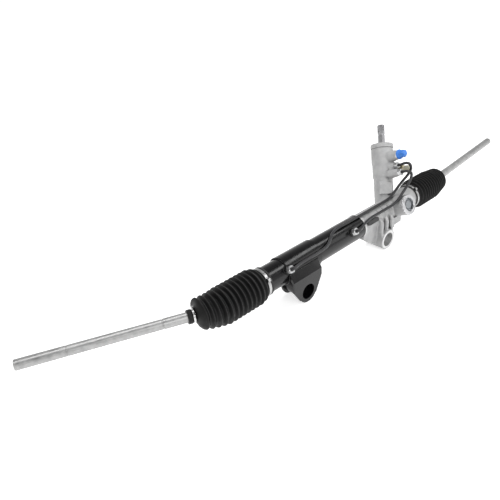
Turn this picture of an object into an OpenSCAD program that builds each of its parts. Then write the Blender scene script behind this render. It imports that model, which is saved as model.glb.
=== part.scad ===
// Hydraulic power rack and pinion steering gear for a light truck.
// Origin: front face centre of the pinion housing's mounting bore.
// +X runs along the rack towards the pinion end, -Y is the side the mounting bolts enter, +Z is up.

/* [Mounting] */
// Distance between the two mounting bores
mount_spacing = 261; // [250:1:275]
// Height of the rack axis above the mounting bores
mount_drop = 46.5; // [46:0.5:54]
// Distance from the mounting faces back to the rack axis
mount_reach = 38; // [36:0.5:46]
// Diameter of both mounting bores
bush_bore_d = 32; // [26:0.5:33]
// Length of both mounting bores
bush_length = 52; // [44:1:60]
// Outer diameter of the housing's mounting boss
mount_boss_d = 46; // [42:0.5:50]
// Wall of the bracket's bush collar
collar_wall = 2; // [1.5:0.1:2.2]

/* [Cylinder tube] */
// Outer diameter of the cylinder tube
tube_d = 51; // [49:0.5:54]
// Wall of the cylinder tube
tube_wall = 2.5; // [2:0.1:3.5]
// Left end of the cylinder tube
tube_left = -357; // [-362:1:-354]
// Joint between the tube and the housing
tube_right = -69; // [-75:1:-64]
// Left end of the reinforcing sleeve
sleeve_left = -298; // [-306:1:-292]
// Right end of the reinforcing sleeve
sleeve_right = -210; // [-216:1:-200]
// Wall of the reinforcing sleeve
sleeve_wall = 2.8; // [1.5:0.1:3.2]
// Place of the left hydraulic port
left_port_x = -299; // [-303:1:-294]
// Place of the right hydraulic port
right_port_x = -112; // [-118:1:-110]
// Angle of the left port above the front of the tube
left_port_angle = 32; // [27:1:38]
// Angle of the right port above the front of the tube
right_port_angle = 31; // [26:1:36]

/* [Rack] */
// Diameter of the rack bar
rack_d = 26; // [25:0.25:27]
// Rack travel to the left of the place shown
travel_left = 60; // [50:1:62]
// Rack travel to the right of the place shown
travel_right = 76; // [66:1:78]
// Centre of the left inner ball
left_ball_x = -453; // [-456:1:-450]
// Centre of the right inner ball
right_ball_x = 218.5; // [216:0.5:222]
// Centre of the piston
piston_x = -190; // [-194:1:-186]
// Width of the piston
piston_w = 16; // [12:1:18]

/* [Pinion] */
// Place along the rack where the pinion axis crosses it
pinion_x = 57; // [52:1:60]
// Angle that the pinion and yoke are turned back about the rack
clock_angle = 24; // [18:0.5:30]
// Lean of the pinion axis towards the right end
incline_angle = 21.5; // [18:0.5:25]
// Normal module of the teeth
tooth_module = 1.8; // [1.7:0.05:1.9]
// Number of pinion teeth
pinion_teeth = 8; // [7:1:9]
// Gap that gives the mesh its backlash
mesh_gap = 0.15; // [0.1:0.01:0.25]
// Height of the valve tower's rim along the pinion axis
tower_top = 146; // [142:1:152]
// Radius of the valve tower at its rim
tower_top_r = 25.4; // [24:0.1:27]
// Radius of the tower's lower part
tower_low_r = 21.4; // [20.5:0.1:23]
// Radius of the bore that holds the valve
valve_bore_r = 15.6; // [15:0.1:16.5]
// Top of the input shaft
shaft_top = 191; // [186:1:198]
// Diameter of the input shaft's serrated end
input_d = 16; // [14:0.25:17]
// Length of the serrated end
serration_length = 21; // [16:1:26]

/* [Yoke] */
// Diameter of the rack yoke
yoke_d = 28; // [26:0.5:30]
// Outer radius of the yoke boss
yoke_boss_r = 22.4; // [21.6:0.1:23]
// Distance from the rack axis to the face of the yoke plug
plug_face = 51; // [48:0.5:54]

/* [Housing] */
// Radius of the cast barrel
barrel_r = 24; // [22.5:0.25:25]
// Radius of the bore round the rack
rack_bore_r = 15; // [14.5:0.1:16]
// Right end of the housing
housing_right = 138; // [135:0.5:138]
// Thickness of the ribs over the mounting boss
rib_t = 6; // [4:0.5:8]
// Distance between the ribs
rib_pitch = 18; // [15:0.5:20]

/* [Tie rods] */
// Diameter of the inner ball
ball_d = 26; // [25:0.25:26.5]
// Diameter of the tie rod's inner length
rod_inner_d = 18.2; // [17:0.1:19]
// Diameter of the tie rod's outer length
rod_d = 17.4; // [16:0.1:18]
// Distance from the ball centre to the rod's end
rod_length = 313; // [280:1:340]
// Minor diameter of the tapped hole in the rod's end
rod_hole_d = 13; // [11:0.25:14]
// Depth of the tapped hole
rod_hole_depth = 60; // [40:1:72]
// Sweep of the left tie rod to the rear
left_sweep = 19.4; // [10:0.1:22]
// Rise of the left tie rod
left_rise = 2.1; // [-4:0.1:6]
// Sweep of the right tie rod to the rear
right_sweep = 0.7; // [-6:0.1:10]
// Rise of the right tie rod
right_rise = 4.6; // [-4:0.1:8]

/* [Bellows] */
// Outer radius of the bellows' ridges
bellows_r = 34.6; // [33:0.1:37]
// Wall of the bellows
bellows_wall = 1.6; // [1.2:0.1:2]
// Number of ridges
ridges = 13; // [11:1:14]
// Depth of a fold between ridges
fold_depth = 5; // [4:0.1:6]
// Width of the cuff clamped to the tube or the housing
cuff_w = 13; // [11:0.5:15]
// Distance that the left bellows' folds reach past the ball
left_fold_reach = 30; // [27:0.5:32]
// Distance that the right bellows' folds reach past the ball
right_fold_reach = 36; // [33:0.5:38]

/* [Pipes] */
// Diameter of the steel pipes
pipe_d = 6; // [5:0.25:6.5]
// Size across the flats of the pipe nuts
nut_af = 13; // [11:0.5:14]

/* [Hidden] */
$fn = 64;
eps = 0.01;
running_fit = 0.05;
soft_gap = 0.3;

tube_r = tube_d / 2;
tube_bore_r = tube_r - tube_wall;
sleeve_r = tube_r + sleeve_wall;
rack_r = rack_d / 2;
bush_r = bush_bore_d / 2;
collar_r = bush_r + collar_wall;
bracket_x = -mount_spacing;
rim_r = tube_r + 0.9;

// Teeth: addendum 0.85 and shift 0.4 keep eight teeth free of undercut
pressure_angle = 20;
addendum = 0.85 * tooth_module;
tip_clearance = 0.2 * tooth_module;
tooth_shift = 0.4 * tooth_module;
pitch_r = tooth_module * pinion_teeth / 2;
base_r = pitch_r * cos(pressure_angle);
pinion_tip_r = pitch_r + tooth_shift + addendum;
pinion_root_r = pitch_r + tooth_shift - addendum - tip_clearance;
rack_tip_u = pitch_r + tooth_shift - addendum + mesh_gap;
rack_root_u = pitch_r + tooth_shift + addendum + tip_clearance + mesh_gap;
rack_ref_u = pitch_r + tooth_shift + mesh_gap;
tooth_pitch = PI * tooth_module;
rack_flat = rack_r - 3.4;
pinion_offset = rack_flat + rack_tip_u;

// Heights along the pinion axis, from the rack crossing
gear_half = 14;
lower_race_h = -36;
lower_race_w = 9;
lower_race_r = 16;
lower_journal_r = 7.5;
tower_bottom = -46;
upper_journal_r = 10;
needle_h = 19;
needle_w = 12;
needle_r = 13;
oil_seal_w = 6;
head_h = 42;
head_r = 13;
sleeve_h = 64;
top_bearing_h = tower_top - 27;
valve_sleeve_h = top_bearing_h - sleeve_h - 5;
valve_sleeve_r = valve_bore_r - 0.25;
valve_core_r = 9.5;
top_bearing_w = 10;
top_bearing_r = 19;
shaft_bearing_r = 10;
torsion_r = 3.9;
torsion_foot = 32;
torsion_pin_l = 14;
torsion_head_l = 22;
torsion_top = shaft_top - 13;
first_step = tower_top - 80;
second_step = tower_top - 48;
step_taper = 6;
tower_mid_r = tower_low_r + 1.8;

// Ports on the tower: height, distance from the pinion axis, offset sideways and boss radius
// Their drillings end inside the valve bore, at port_reach from its axis
supply_port = [114, 44, 0, 10.5];
upper_port = [90.7, 35, 0, 8.5];
lower_port = [72.8, 49, -8, 8.5];
return_port = [82.9, 35, 16, 9];
port_reach = valve_bore_r - 6.6;
supply_bore_r = 6.5;
return_bore_r = 4;
pipe_seat_r = 3;
port_chamfer = 1;
tube_boss_r = 8;
tube_boss_h = 5;
tube_port_r = 2.5;
barrel_swell_r = barrel_r + 2.5;

// Inner ball joints
ball_r = ball_d / 2;
seat_r = ball_r + 2;
cup_r = seat_r + running_fit;
socket_r = 19.5;
socket_back = 20;
socket_front = 11;
neck_r = 6.5;
stud_r = 8;
stud_length = 22;
mouth_angle = 57;
rod_r = rod_d / 2;
rod_inner_r = rod_inner_d / 2;
rod_cuff_start = 4;
rod_cuff_end = 18;
clamp_place = rod_cuff_start + 2.5;
bend_reach = 20;
fold_lean = 0.35;

// Middle lines of the two pipes along the tube, chosen by hand
left_pipe_route = [
    [90, -8, 98], [96, -15, 96], [97, -19, 86], [95.5, -18, 79], [92, -15, 70], [84, -8, 56], [72, -3, 41],
    [60, -3, 33], [50, -5, 30.2], [30, -7, 29.2], [-60, -7.3, 28.9], [-144, -7.3, 28.9],
    [-160, -11, 28], [-175, -19, 25], [-191, -26, 20], [-204, -28, 18.5], [-226, -29, 18.5],
    [-268, -29, 18.5], [-285, -34, 21.3]
];
right_pipe_route = [
    [82, -20, 84], [88, -26, 80], [86, -28, 71], [76, -29, 60], [60, -29, 48], [43, -31, 40],
    [34, -28, 29], [24, -23, 22], [10, -22, 21], [-46, -22, 21], [-62, -24, 20], [-80, -27, 19],
    [-88, -30, 19.5], [-99, -36, 22]
];

// Frames
module on_rack() translate([0, mount_reach, mount_drop]) children();
module along_x(x = 0) translate([x, 0, 0]) rotate([0, 90, 0]) children();
module along_y(p) translate(p) rotate([-90, 0, 0]) children();
module in_pinion() rotate([-clock_angle, 0, 0])
    translate([pinion_x, pinion_offset, 0]) rotate([0, incline_angle, 0]) children();
module in_yoke() rotate([-clock_angle, 0, 0]) translate([pinion_x, 0, 0]) rotate([90, 0, 0]) children();
module at_port(p) translate([p[2], 0, p[0]]) rotate([90, 0, 0]) children();
module on_left_rod() translate([left_ball_x, 0, 0])
    rotate([0, 0, 180 - left_sweep]) rotate([0, 90 - left_rise, 0]) children();
module on_right_rod() translate([right_ball_x, 0, 0])
    rotate([0, 0, right_sweep]) rotate([0, 90 - right_rise, 0]) children();
module on_left_seat() translate([left_ball_x, 0, 0])
    rotate([0, 0, 180 - left_sweep]) rotate([0, 90, 0]) children();
module on_right_seat() translate([right_ball_x, 0, 0])
    rotate([0, 0, right_sweep]) rotate([0, 90, 0]) children();
module at_tube_port(x, a) translate([x, 0, 0]) rotate([90 - a, 0, 0]) children();

// Shapes used again and again
module ring(r_out, r_in, h) difference() {
    cylinder(r = r_out, h = h);
    translate([0, 0, -1]) cylinder(r = r_in, h = h + 2);
}
module hex(af, h) cylinder(d = af / cos(30), h = h, $fn = 6);
function unit(v) = v / norm(v);
function pinion_point(h, out, side) =
    let (p = [side * cos(incline_angle) + h * sin(incline_angle), pinion_offset - out,
              h * cos(incline_angle) - side * sin(incline_angle)])
    [p[0] + pinion_x, p[1] * cos(clock_angle) + p[2] * sin(clock_angle),
     p[2] * cos(clock_angle) - p[1] * sin(clock_angle)];
function tube_port_point(x, a, r) = [x, -r * cos(a), r * sin(a)];

// Corners of a route rounded with short curves
function rounded(route, reach) = concat([route[0]], [
    for (i = [1 : len(route) - 2])
        let (a = route[i - 1], m = route[i], b = route[i + 1],
             ra = min(reach, norm(m - a) * 0.45), rb = min(reach, norm(b - m) * 0.45),
             p = m + unit(a - m) * ra, q = m + unit(b - m) * rb)
        for (t = [0 : 1 / 3 : 1]) (1 - t) * (1 - t) * p + 2 * t * (1 - t) * m + t * t * q
], [route[len(route) - 1]]);
function tangent(path, i) = unit(path[min(i + 1, len(path) - 1)] - path[max(i - 1, 0)]);
function sweep_points(path, radii, sides) = [
    for (i = [0 : len(path) - 1])
        let (t = tangent(path, i), e = unit(cross(t, [0.1, 0.2, 0.97])), f = cross(t, e))
        for (k = [0 : sides - 1])
            path[i] + radii[i] * (cos(360 * k / sides) * e + sin(360 * k / sides) * f)
];
module pipe_sweep(path, r, sides = 8) {
    n = len(path);
    quads = [for (i = [0 : n - 2]) for (k = [0 : sides - 1])
        [i * sides + k, (i + 1) * sides + k, (i + 1) * sides + (k + 1) % sides, i * sides + (k + 1) % sides]];
    caps = [[for (k = [0 : sides - 1]) k], [for (k = [sides - 1 : -1 : 0]) (n - 1) * sides + k]];
    polyhedron(sweep_points(path, [for (p = path) r], sides), concat(quads, caps));
}
module ring_sweep(path, radii, sides) {
    n = len(path);
    quads = [for (i = [0 : n - 1]) for (k = [0 : sides - 1])
        let (j = (i + 1) % n, l = (k + 1) % sides)
        [i * sides + k, j * sides + k, j * sides + l, i * sides + l]];
    polyhedron(sweep_rings(path, radii, sides), quads);
}
// A folded loop of rings: outer rings forward, inner rings back, each with the tangent of its place
function sweep_rings(path, radii, sides) = [
    for (i = [0 : len(path) - 1])
        let (t = unit(path[i][1]), e = unit(cross(t, [0.05, 0.02, 1])), f = cross(t, e))
        for (k = [0 : sides - 1])
            path[i][0] + radii[i] * (cos(360 * k / sides) * e + sin(360 * k / sides) * f)
];

// Pinion housing
pad_across = 28;
module rib_plate(x) translate([x - rib_t / 2, 0, 0]) rotate([90, 0, 90]) linear_extrude(rib_t)
    polygon([[-8, 0], [-barrel_r + 1, 9], [-mount_reach + 8, 5], [-mount_reach + 4, -2],
             [-mount_reach + 3, -mount_drop + 10], [-8, -mount_drop + 8]]);
module web_plate() translate([0, -8, 0]) rotate([90, 0, 0]) linear_extrude(14)
    polygon([[tube_right, -6], [tube_right, -barrel_r - 1],
             [-mount_boss_d / 2 + 5, -mount_drop - mount_boss_d / 2 + 8],
             [10, -mount_drop - 12], [mount_boss_d / 2, -mount_drop + 6], [pinion_x - 8, -34],
             [pinion_x + 4, -28], [pinion_x + 4, -6]]);
module tower_body() {
    translate([0, 0, tower_bottom]) cylinder(r = tower_low_r - 2, h = 60);
    cylinder(r = tower_low_r, h = first_step);
    translate([0, 0, first_step]) cylinder(r1 = tower_low_r, r2 = tower_mid_r, h = step_taper);
    translate([0, 0, first_step + step_taper])
        cylinder(r = tower_mid_r, h = second_step - first_step - step_taper);
    translate([0, 0, second_step]) cylinder(r1 = tower_mid_r, r2 = tower_top_r - 0.8, h = step_taper);
    translate([0, 0, second_step + step_taper])
        cylinder(r = tower_top_r - 0.8, h = tower_top - second_step - step_taper - 10);
    translate([0, 0, tower_top - 10]) cylinder(r = tower_top_r, h = 8.5);
    translate([0, 0, tower_top - 1.5]) cylinder(r1 = tower_top_r, r2 = tower_top_r - 1.5, h = 1.5);
}
module port_boss(p) at_port(p) {
    cylinder(r = p[3], h = p[1] - port_chamfer);
    translate([0, 0, p[1] - port_chamfer]) cylinder(r1 = p[3], r2 = p[3] - port_chamfer, h = port_chamfer);
}
module plain_pad() rotate([0, 0, -38])
    translate([-pad_across / 2, -tower_low_r - 0.6, 30]) cube([pad_across, 12, 27]);
module port_hole(p, r) at_port(p) translate([0, 0, port_reach]) cylinder(r = r, h = p[1] - port_reach + 1);
module pinion_housing() color("gainsboro") on_rack() difference() {
    union() {
        along_x(tube_right) cylinder(r = rim_r, h = 6);
        along_x(tube_right + 6) cylinder(r1 = rim_r, r2 = barrel_r, h = 3);
        along_x(tube_right - 26) cylinder(r = tube_bore_r, h = 27);
        along_x(tube_right + 5) cylinder(r = barrel_r, h = pinion_x - tube_right);
        along_x(pinion_x - 24) cylinder(r1 = barrel_r, r2 = barrel_swell_r, h = 14);
        along_x(pinion_x - 10) cylinder(r = barrel_swell_r, h = housing_right - pinion_x - 9);
        along_x(housing_right - 20) cylinder(r = tube_r, h = 18.5);
        along_x(housing_right - 1.5) cylinder(r1 = tube_r, r2 = tube_r - 1.5, h = 1.5);
        in_pinion() {
            tower_body();
            for (p = [supply_port, upper_port, lower_port, return_port]) port_boss(p);
            plain_pad();
        }
        in_yoke() cylinder(r = yoke_boss_r, h = plug_face - 4);
        along_y([0, -mount_reach, -mount_drop]) cylinder(d = mount_boss_d, h = bush_length);
        web_plate();
        for (i = [-1 : 1]) rib_plate(i * rib_pitch);
        translate([pinion_x - 17, -29, -26]) cube([14, 24, 16]);
    }
    along_x(tube_right - 40) cylinder(r = rack_bore_r, h = housing_right - tube_right + 60);
    along_x(housing_right - 12) cylinder(r = rack_bore_r + 4, h = 20);
    in_pinion() {
        translate([0, 0, lower_race_h - 20]) cylinder(r = lower_race_r, h = lower_race_w + 20);
        translate([0, 0, lower_race_h]) cylinder(r = pinion_tip_r + 1.2, h = needle_h - lower_race_h);
        translate([0, 0, needle_h]) cylinder(r = needle_r, h = needle_w + oil_seal_w);
        translate([0, 0, needle_h + needle_w + oil_seal_w - 1]) cylinder(r = valve_bore_r, h = 90);
        translate([0, 0, top_bearing_h]) cylinder(r = top_bearing_r, h = tower_top);
        port_hole(supply_port, supply_bore_r);
        port_hole(upper_port, pipe_seat_r);
        port_hole(lower_port, pipe_seat_r);
        port_hole(return_port, return_bore_r);
    }
    in_yoke() {
        cylinder(r = yoke_d / 2 + running_fit, h = plug_face);
        translate([0, 0, plug_foot]) cylinder(r = plug_r, h = 20);
    }
    along_y([0, -mount_reach - 1, -mount_drop]) cylinder(r = bush_r, h = bush_length + 2);
}

// Cylinder tube and the pieces welded to it
module cylinder_tube() color([0.05, 0.05, 0.06]) on_rack() difference() {
    along_x(tube_left) ring(tube_r, tube_bore_r, tube_right - tube_left);
    at_tube_port(left_port_x, left_port_angle) cylinder(r = tube_port_r, h = tube_r + 1);
    at_tube_port(right_port_x, right_port_angle) cylinder(r = tube_port_r, h = tube_r + 1);
}
module tube_sleeve() color([0.05, 0.05, 0.06]) on_rack() difference() {
    along_x(sleeve_left) ring(sleeve_r, tube_r, sleeve_right - sleeve_left);
    at_tube_port(left_port_x, left_port_angle) cylinder(r = tube_boss_r, h = sleeve_r + 1);
}
module boss_on_tube(x, a, wall_r) difference() {
    at_tube_port(x, a) {
        translate([0, 0, tube_r - tube_boss_h]) cylinder(r = tube_boss_r, h = 2 * tube_boss_h - 2);
        translate([0, 0, tube_r + tube_boss_h - 2]) cylinder(r1 = tube_boss_r, r2 = tube_boss_r - 1, h = 2);
    }
    along_x(x - 2 * tube_boss_r) cylinder(r = wall_r, h = 4 * tube_boss_r);
    at_tube_port(x, a) cylinder(r = tube_port_r, h = tube_r + tube_boss_h + 1);
}
module tube_port_bosses() color([0.05, 0.05, 0.06]) on_rack() {
    boss_on_tube(left_port_x, left_port_angle, tube_r);
    boss_on_tube(right_port_x, right_port_angle, tube_r);
}

// Stamped bracket: a plate welded to the sleeve, folded down to the front face
bracket_t = 4;
bracket_w = 76;
fold_z = -13;
weld_angle = 10;
module bracket_outline() {
    translate([0, -mount_drop]) circle(r = 23.5);
    polygon([[-bracket_w / 2, fold_z], [bracket_w / 2, fold_z], [bracket_w / 2, fold_z - 12],
             [22, -mount_drop - 12], [-22, -mount_drop - 12], [-bracket_w / 2, fold_z - 20]]);
}
module mount_bracket() color([0.07, 0.07, 0.08]) on_rack() {
    top = [-sleeve_r * cos(weld_angle), sleeve_r * sin(weld_angle)];
    difference() {
        union() {
            translate([bracket_x, -mount_reach + bracket_t, 0]) rotate([90, 0, 0])
                linear_extrude(bracket_t) bracket_outline();
            translate([bracket_x - bracket_w / 2, 0, 0]) rotate([90, 0, 90]) linear_extrude(bracket_w)
                polygon([[-mount_reach, fold_z], [-mount_reach, fold_z + 3], top, top + [4, 0],
                         [-sleeve_r + 3, -2], [-mount_reach + bracket_t, fold_z - 1]]);
            translate([bracket_x, bush_length - mount_reach - 2, 0]) rotate([90, 0, 0])
                linear_extrude(bracket_t) {
                    translate([0, -mount_drop]) circle(r = 23.5);
                    polygon([[-30, -18], [30, -18], [23.5, -mount_drop], [-23.5, -mount_drop]]);
                }
        }
        along_x(bracket_x - bracket_w) cylinder(r = sleeve_r, h = 2 * bracket_w);
        along_y([bracket_x, -mount_reach - 1, -mount_drop]) cylinder(r = collar_r, h = bush_length + 2);
    }
}
module bracket_collar() color([0.07, 0.07, 0.08]) on_rack() difference() {
    along_y([bracket_x, -mount_reach, -mount_drop]) ring(collar_r, bush_r, bush_length);
    along_x(bracket_x - bracket_w) cylinder(r = sleeve_r, h = 2 * bracket_w);
}

// Steel pipes between the valve and the cylinder, with their flare nuts
nut_base = tube_boss_h + 0.2;
nut_h = 9;
module flare_nut() difference() {
    union() {
        hex(nut_af, nut_h - 1.5);
        translate([0, 0, nut_h - 1.5]) cylinder(r1 = nut_af / 2, r2 = nut_af / 2 - 1, h = 1.5);
    }
    translate([0, 0, -1]) cylinder(r = pipe_d / 2 + 0.25, h = nut_h + 2);
}
module tube_pipe_nuts() color("silver") on_rack() {
    at_tube_port(left_port_x, left_port_angle) translate([0, 0, tube_r + nut_base]) flare_nut();
    at_tube_port(right_port_x, right_port_angle) translate([0, 0, tube_r + nut_base]) flare_nut();
}
module valve_pipe_nuts() color("silver") on_rack() in_pinion() {
    for (p = [upper_port, lower_port]) translate([0, -p[1], 0]) at_port(p) flare_nut();
}
pipe_bend = 5;
nut_top = nut_h + pipe_bend + 1.5;
function port_start(p) = [pinion_point(p[0], p[1] + 0.2, p[2]), pinion_point(p[0], p[1] + nut_top, p[2])];
function port_end(x, a) = [tube_port_point(x, a, tube_r + nut_base + nut_top),
                           tube_port_point(x, a, tube_r + nut_base + 0.2)];
module left_pipe() color([0.12, 0.12, 0.13]) on_rack()
    pipe_sweep(rounded(concat(port_start(upper_port), left_pipe_route,
                              port_end(left_port_x, left_port_angle)), pipe_bend), pipe_d / 2);
module right_pipe() color([0.12, 0.12, 0.13]) on_rack()
    pipe_sweep(rounded(concat(port_start(lower_port), right_pipe_route,
                              port_end(right_port_x, right_port_angle)), pipe_bend), pipe_d / 2);
// Rubber pad under the short pipe, in the shape of a long oval
pad_angle = 25;
pad_l = 36;
pad_w = 9;
module pipe_pad() color([0.04, 0.04, 0.04]) on_rack() difference() {
    at_tube_port(tube_right + 9 + pad_l / 2, pad_angle) {
        for (sx = [-1, 1]) translate([sx * (pad_l - pad_w) / 2, 0, barrel_r - 3]) cylinder(d = pad_w, h = 7.5);
        translate([-(pad_l - pad_w) / 2, -pad_w / 2, barrel_r - 3]) cube([pad_l - pad_w, pad_w, 7.5]);
    }
    along_x(tube_right) cylinder(r = barrel_r, h = 80);
}
module return_fitting() color("darkkhaki") on_rack() in_pinion()
    translate([0, -return_port[1], 0]) at_port(return_port)
    difference() {
        union() {
            hex(16, 13);
            translate([0, 0, 13]) cylinder(r = 6, h = 9);
            translate([0, 0, -8]) cylinder(r = 4, h = 9);
        }
        translate([0, 0, -10]) cylinder(r = 2.5, h = 40);
    }
module return_cap() color("ivory") on_rack() in_pinion()
    translate([0, -return_port[1] - 13.2, 0]) at_port(return_port)
    difference() {
        cylinder(r = 7.4, h = 13);
        translate([0, 0, -1]) cylinder(r = 6, h = 10);
    }
module supply_cap() color("royalblue") on_rack() in_pinion()
    translate([0, -supply_port[1], 0]) at_port(supply_port) {
    translate([0, 0, -8]) cylinder(r = 6.4, h = 8);
    cylinder(r = 9.6, h = 3);
    difference() {
        union() {
            translate([0, 0, 3]) cylinder(r = 8, h = 7);
            translate([0, 0, 10]) cylinder(r1 = 8, r2 = 5, h = 5);
        }
        for (a = [30 : 60 : 330]) rotate([0, 0, a]) translate([9.6, 0, 3]) cylinder(r = 2.6, h = 13);
    }
}

// Yoke that presses the rack against the pinion
yoke_front = 28;
plug_foot = 34;
plug_r = yoke_d / 2 + 4;
plug_socket_af = 19;
module rack_yoke() color("silver") on_rack() difference() {
    in_yoke() difference() {
        cylinder(d = yoke_d, h = yoke_front);
        translate([0, 0, 19]) cylinder(r = 9, h = 20);
    }
    along_x(pinion_x - 30) cylinder(r = rack_r + 1.2, h = 60);
    in_yoke() translate([-20, -20, -2]) cube([40, 40, 8]);
}
module yoke_liner() color("tan") on_rack() intersection() {
    along_x(pinion_x - 20) ring(rack_r + 1.2, rack_r + running_fit, 40);
    in_yoke() translate([0, 0, 6]) cylinder(r = yoke_d / 2 - 0.5, h = 20);
}
module yoke_spring() color("dimgray") on_rack() in_yoke() for (i = [0 : 3])
    translate([0, 0, 19 + 1.5 + i * 3.4]) rotate_extrude() translate([6.5, 0]) circle(d = 3, $fn = 24);
module yoke_plug() color("silver") on_rack() in_yoke() difference() {
    translate([0, 0, plug_foot]) cylinder(r = plug_r, h = plug_face - plug_foot - 2);
    translate([0, 0, plug_face - 4]) cylinder(r1 = 11.5, r2 = 13.5, h = 3);
    translate([0, 0, plug_face - 12]) hex(plug_socket_af, 14);
    translate([0, 0, plug_foot - 4]) cylinder(r = 10, h = 6);
}
module yoke_lock_ring() color("whitesmoke") on_rack() in_yoke() translate([0, 0, plug_face - 4]) difference() {
    union() {
        cylinder(r = yoke_boss_r - 1, h = 4);
        for (a = [0 : 30 : 330]) rotate([0, 0, a]) translate([yoke_boss_r - 2, -2.5, 0]) cube([3.2, 5, 3]);
    }
    translate([0, 0, -1]) cylinder(r = 14, h = 8);
    cylinder(r = plug_r, h = 2);
}

// Cylinder ends, seals and bushes
inner_face = tube_right - 33;
outer_face = left_port_x - 5;
module outer_bulkhead() color("silver") on_rack() difference() {
    along_x(outer_face - 22) ring(tube_bore_r, rack_r + 0.6, 22);
    along_x(outer_face - 14) cylinder(r = rack_r + 4, h = 7);
}
module inner_bulkhead() color("silver") on_rack() difference() {
    along_x(inner_face) ring(tube_bore_r, rack_r + 0.6, 6.8);
    along_x(inner_face - 1) cylinder(r = rack_r + 4, h = 6);
}
module rack_seals() color([0.1, 0.1, 0.1]) on_rack() {
    along_x(outer_face - 14) ring(rack_r + 4, rack_r + soft_gap, 7);
    along_x(inner_face) ring(rack_r + 4, rack_r + soft_gap, 5);
}
module rack_end_bush() color("ivory") on_rack()
    along_x(tube_left + 2) ring(tube_bore_r, rack_r + running_fit, 14);

// Pinion bearings, seals and end cap
module lower_bearing_outer_race() color("silver") on_rack() in_pinion() translate([0, 0, lower_race_h]) {
    difference() {
        ring(lower_race_r, 13.4, lower_race_w);
        translate([0, 0, lower_race_w / 2]) rotate_extrude() translate([11.6, 0]) circle(r = 2.45, $fn = 32);
    }
    for (a = [0 : 45 : 315]) rotate([0, 0, a]) translate([11.6, 0, lower_race_w / 2]) sphere(r = 2.38, $fn = 24);
}
module needle_bearing() color("silver") on_rack() in_pinion() translate([0, 0, needle_h])
    ring(needle_r, upper_journal_r + running_fit, needle_w - 0.5);
module pinion_oil_seal() color([0.1, 0.1, 0.1]) on_rack() in_pinion()
    translate([0, 0, needle_h + needle_w])
    ring(needle_r, upper_journal_r + soft_gap, oil_seal_w - 1.5);
module pinion_end_cap() color("silver") on_rack() in_pinion() translate([0, 0, tower_bottom - 2]) {
    cylinder(r = lower_race_r, h = 4);
    ring(lower_race_r, lower_race_r - 3, lower_race_h - tower_bottom + 1);
}
module upper_shaft_bearing() color("silver") on_rack() in_pinion() translate([0, 0, top_bearing_h])
    ring(top_bearing_r, shaft_bearing_r + running_fit, top_bearing_w);
module input_shaft_seal() color([0.1, 0.1, 0.1]) on_rack() in_pinion()
    translate([0, 0, top_bearing_h + top_bearing_w]) {
    ring(top_bearing_r, 15, tower_top - top_bearing_h - top_bearing_w - 3);
    ring(15, input_d / 2 + soft_gap, 8);
}
module dust_cover() color([0.08, 0.08, 0.08]) on_rack() in_pinion() translate([0, 0, tower_top - 3]) {
    ring(top_bearing_r, input_d / 2 + soft_gap, 1.5);
    ring(input_d / 2 + 3, input_d / 2 + soft_gap, 5);
}

// Bellows: rings follow the rack axis, bend past the ball and end on the tie rod
// The folds lean only a part of the way to the rod, and the neck takes the rest
function ridge_r(i) = bellows_r - (i > ridges - 5 ? (i - ridges + 5) * 1.4 : 0) - (i == 0 ? 2.5 : 0);
function valley_r(i) = ridge_r(i) - (i > ridges - 3 ? fold_depth * 0.7 : fold_depth);
function bellows_profile(fold_end) = let (pitch = (fold_end - cuff_w - 1) / ridges) concat(
    [[0, tube_r + 2.6], [2, tube_r + 2.6], [3, tube_r + 2], [cuff_w - 2, tube_r + 2]],
    [for (i = [0 : ridges - 1]) for (q = [[0, 0], [0.3, 0.85], [0.5, 1], [0.7, 0.85]])
        [cuff_w + 1 + (i + q[0]) * pitch, valley_r(i) + (ridge_r(i) - valley_r(i)) * q[1]]]
);
function cuff_profile(d0) = [
    [d0 - 0.5, rod_inner_r + 17.4], [d0 + 1.5, rod_inner_r + 13], [d0 + 3, rod_inner_r + 7.4],
    [d0 + rod_cuff_start, rod_inner_r + 2], [d0 + rod_cuff_start + 5.5, rod_inner_r + 2],
    [d0 + rod_cuff_start + 6.5, rod_inner_r + 3.2], [d0 + rod_cuff_end - 1, rod_inner_r + 3.2],
    [d0 + rod_cuff_end, rod_inner_r + 2.6]
];
function leaned(d, fold_end, axis, along) =
    let (lean = fold_lean + (1 - fold_lean) * min(1, max(0, (d - fold_end) / rod_cuff_start)))
    (1 - lean) * axis + lean * unit(along);
function bellows_place(d, start, axis, ball, rod) =
    let (straight = norm(ball - start) - bend_reach, t = (d - straight) / (2 * bend_reach),
         a = ball - axis * bend_reach, b = ball + rod * bend_reach)
    t <= 0 ? [start + axis * d, axis]
    : t >= 1 ? [b + rod * (d - straight - 2 * bend_reach), rod]
    : [(1 - t) * (1 - t) * a + 2 * t * (1 - t) * ball + t * t * b, (1 - t) * (ball - a) + t * (b - ball)];
module bellows(start, axis, ball, rod, fold_reach) {
    fold_end = norm(ball - start) + fold_reach;
    sides = 16;
    outer = concat(bellows_profile(fold_end), cuff_profile(fold_end));
    inner = [for (i = [len(outer) - 1 : -1 : 0])
        let (within = outer[i][0] < cuff_w + 6 ? tube_r : rod_inner_r)
        [outer[i][0], max(outer[i][1] - bellows_wall, within / cos(180 / sides) + 0.1)]];
    loop = concat(outer, inner);
    rings = [for (p = loop) let (place = bellows_place(p[0], start, axis, ball, rod))
        [place[0], leaned(p[0], fold_end, axis, place[1])]];
    ring_sweep(rings, [for (p = loop) p[1]], sides);
}
left_cuff_x = tube_left + 18;
right_cuff_x = housing_right - 14;
left_rod_dir = [-cos(left_sweep) * cos(left_rise), sin(left_sweep) * cos(left_rise), sin(left_rise)];
right_rod_dir = [cos(right_sweep) * cos(right_rise), sin(right_sweep) * cos(right_rise), sin(right_rise)];
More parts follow.
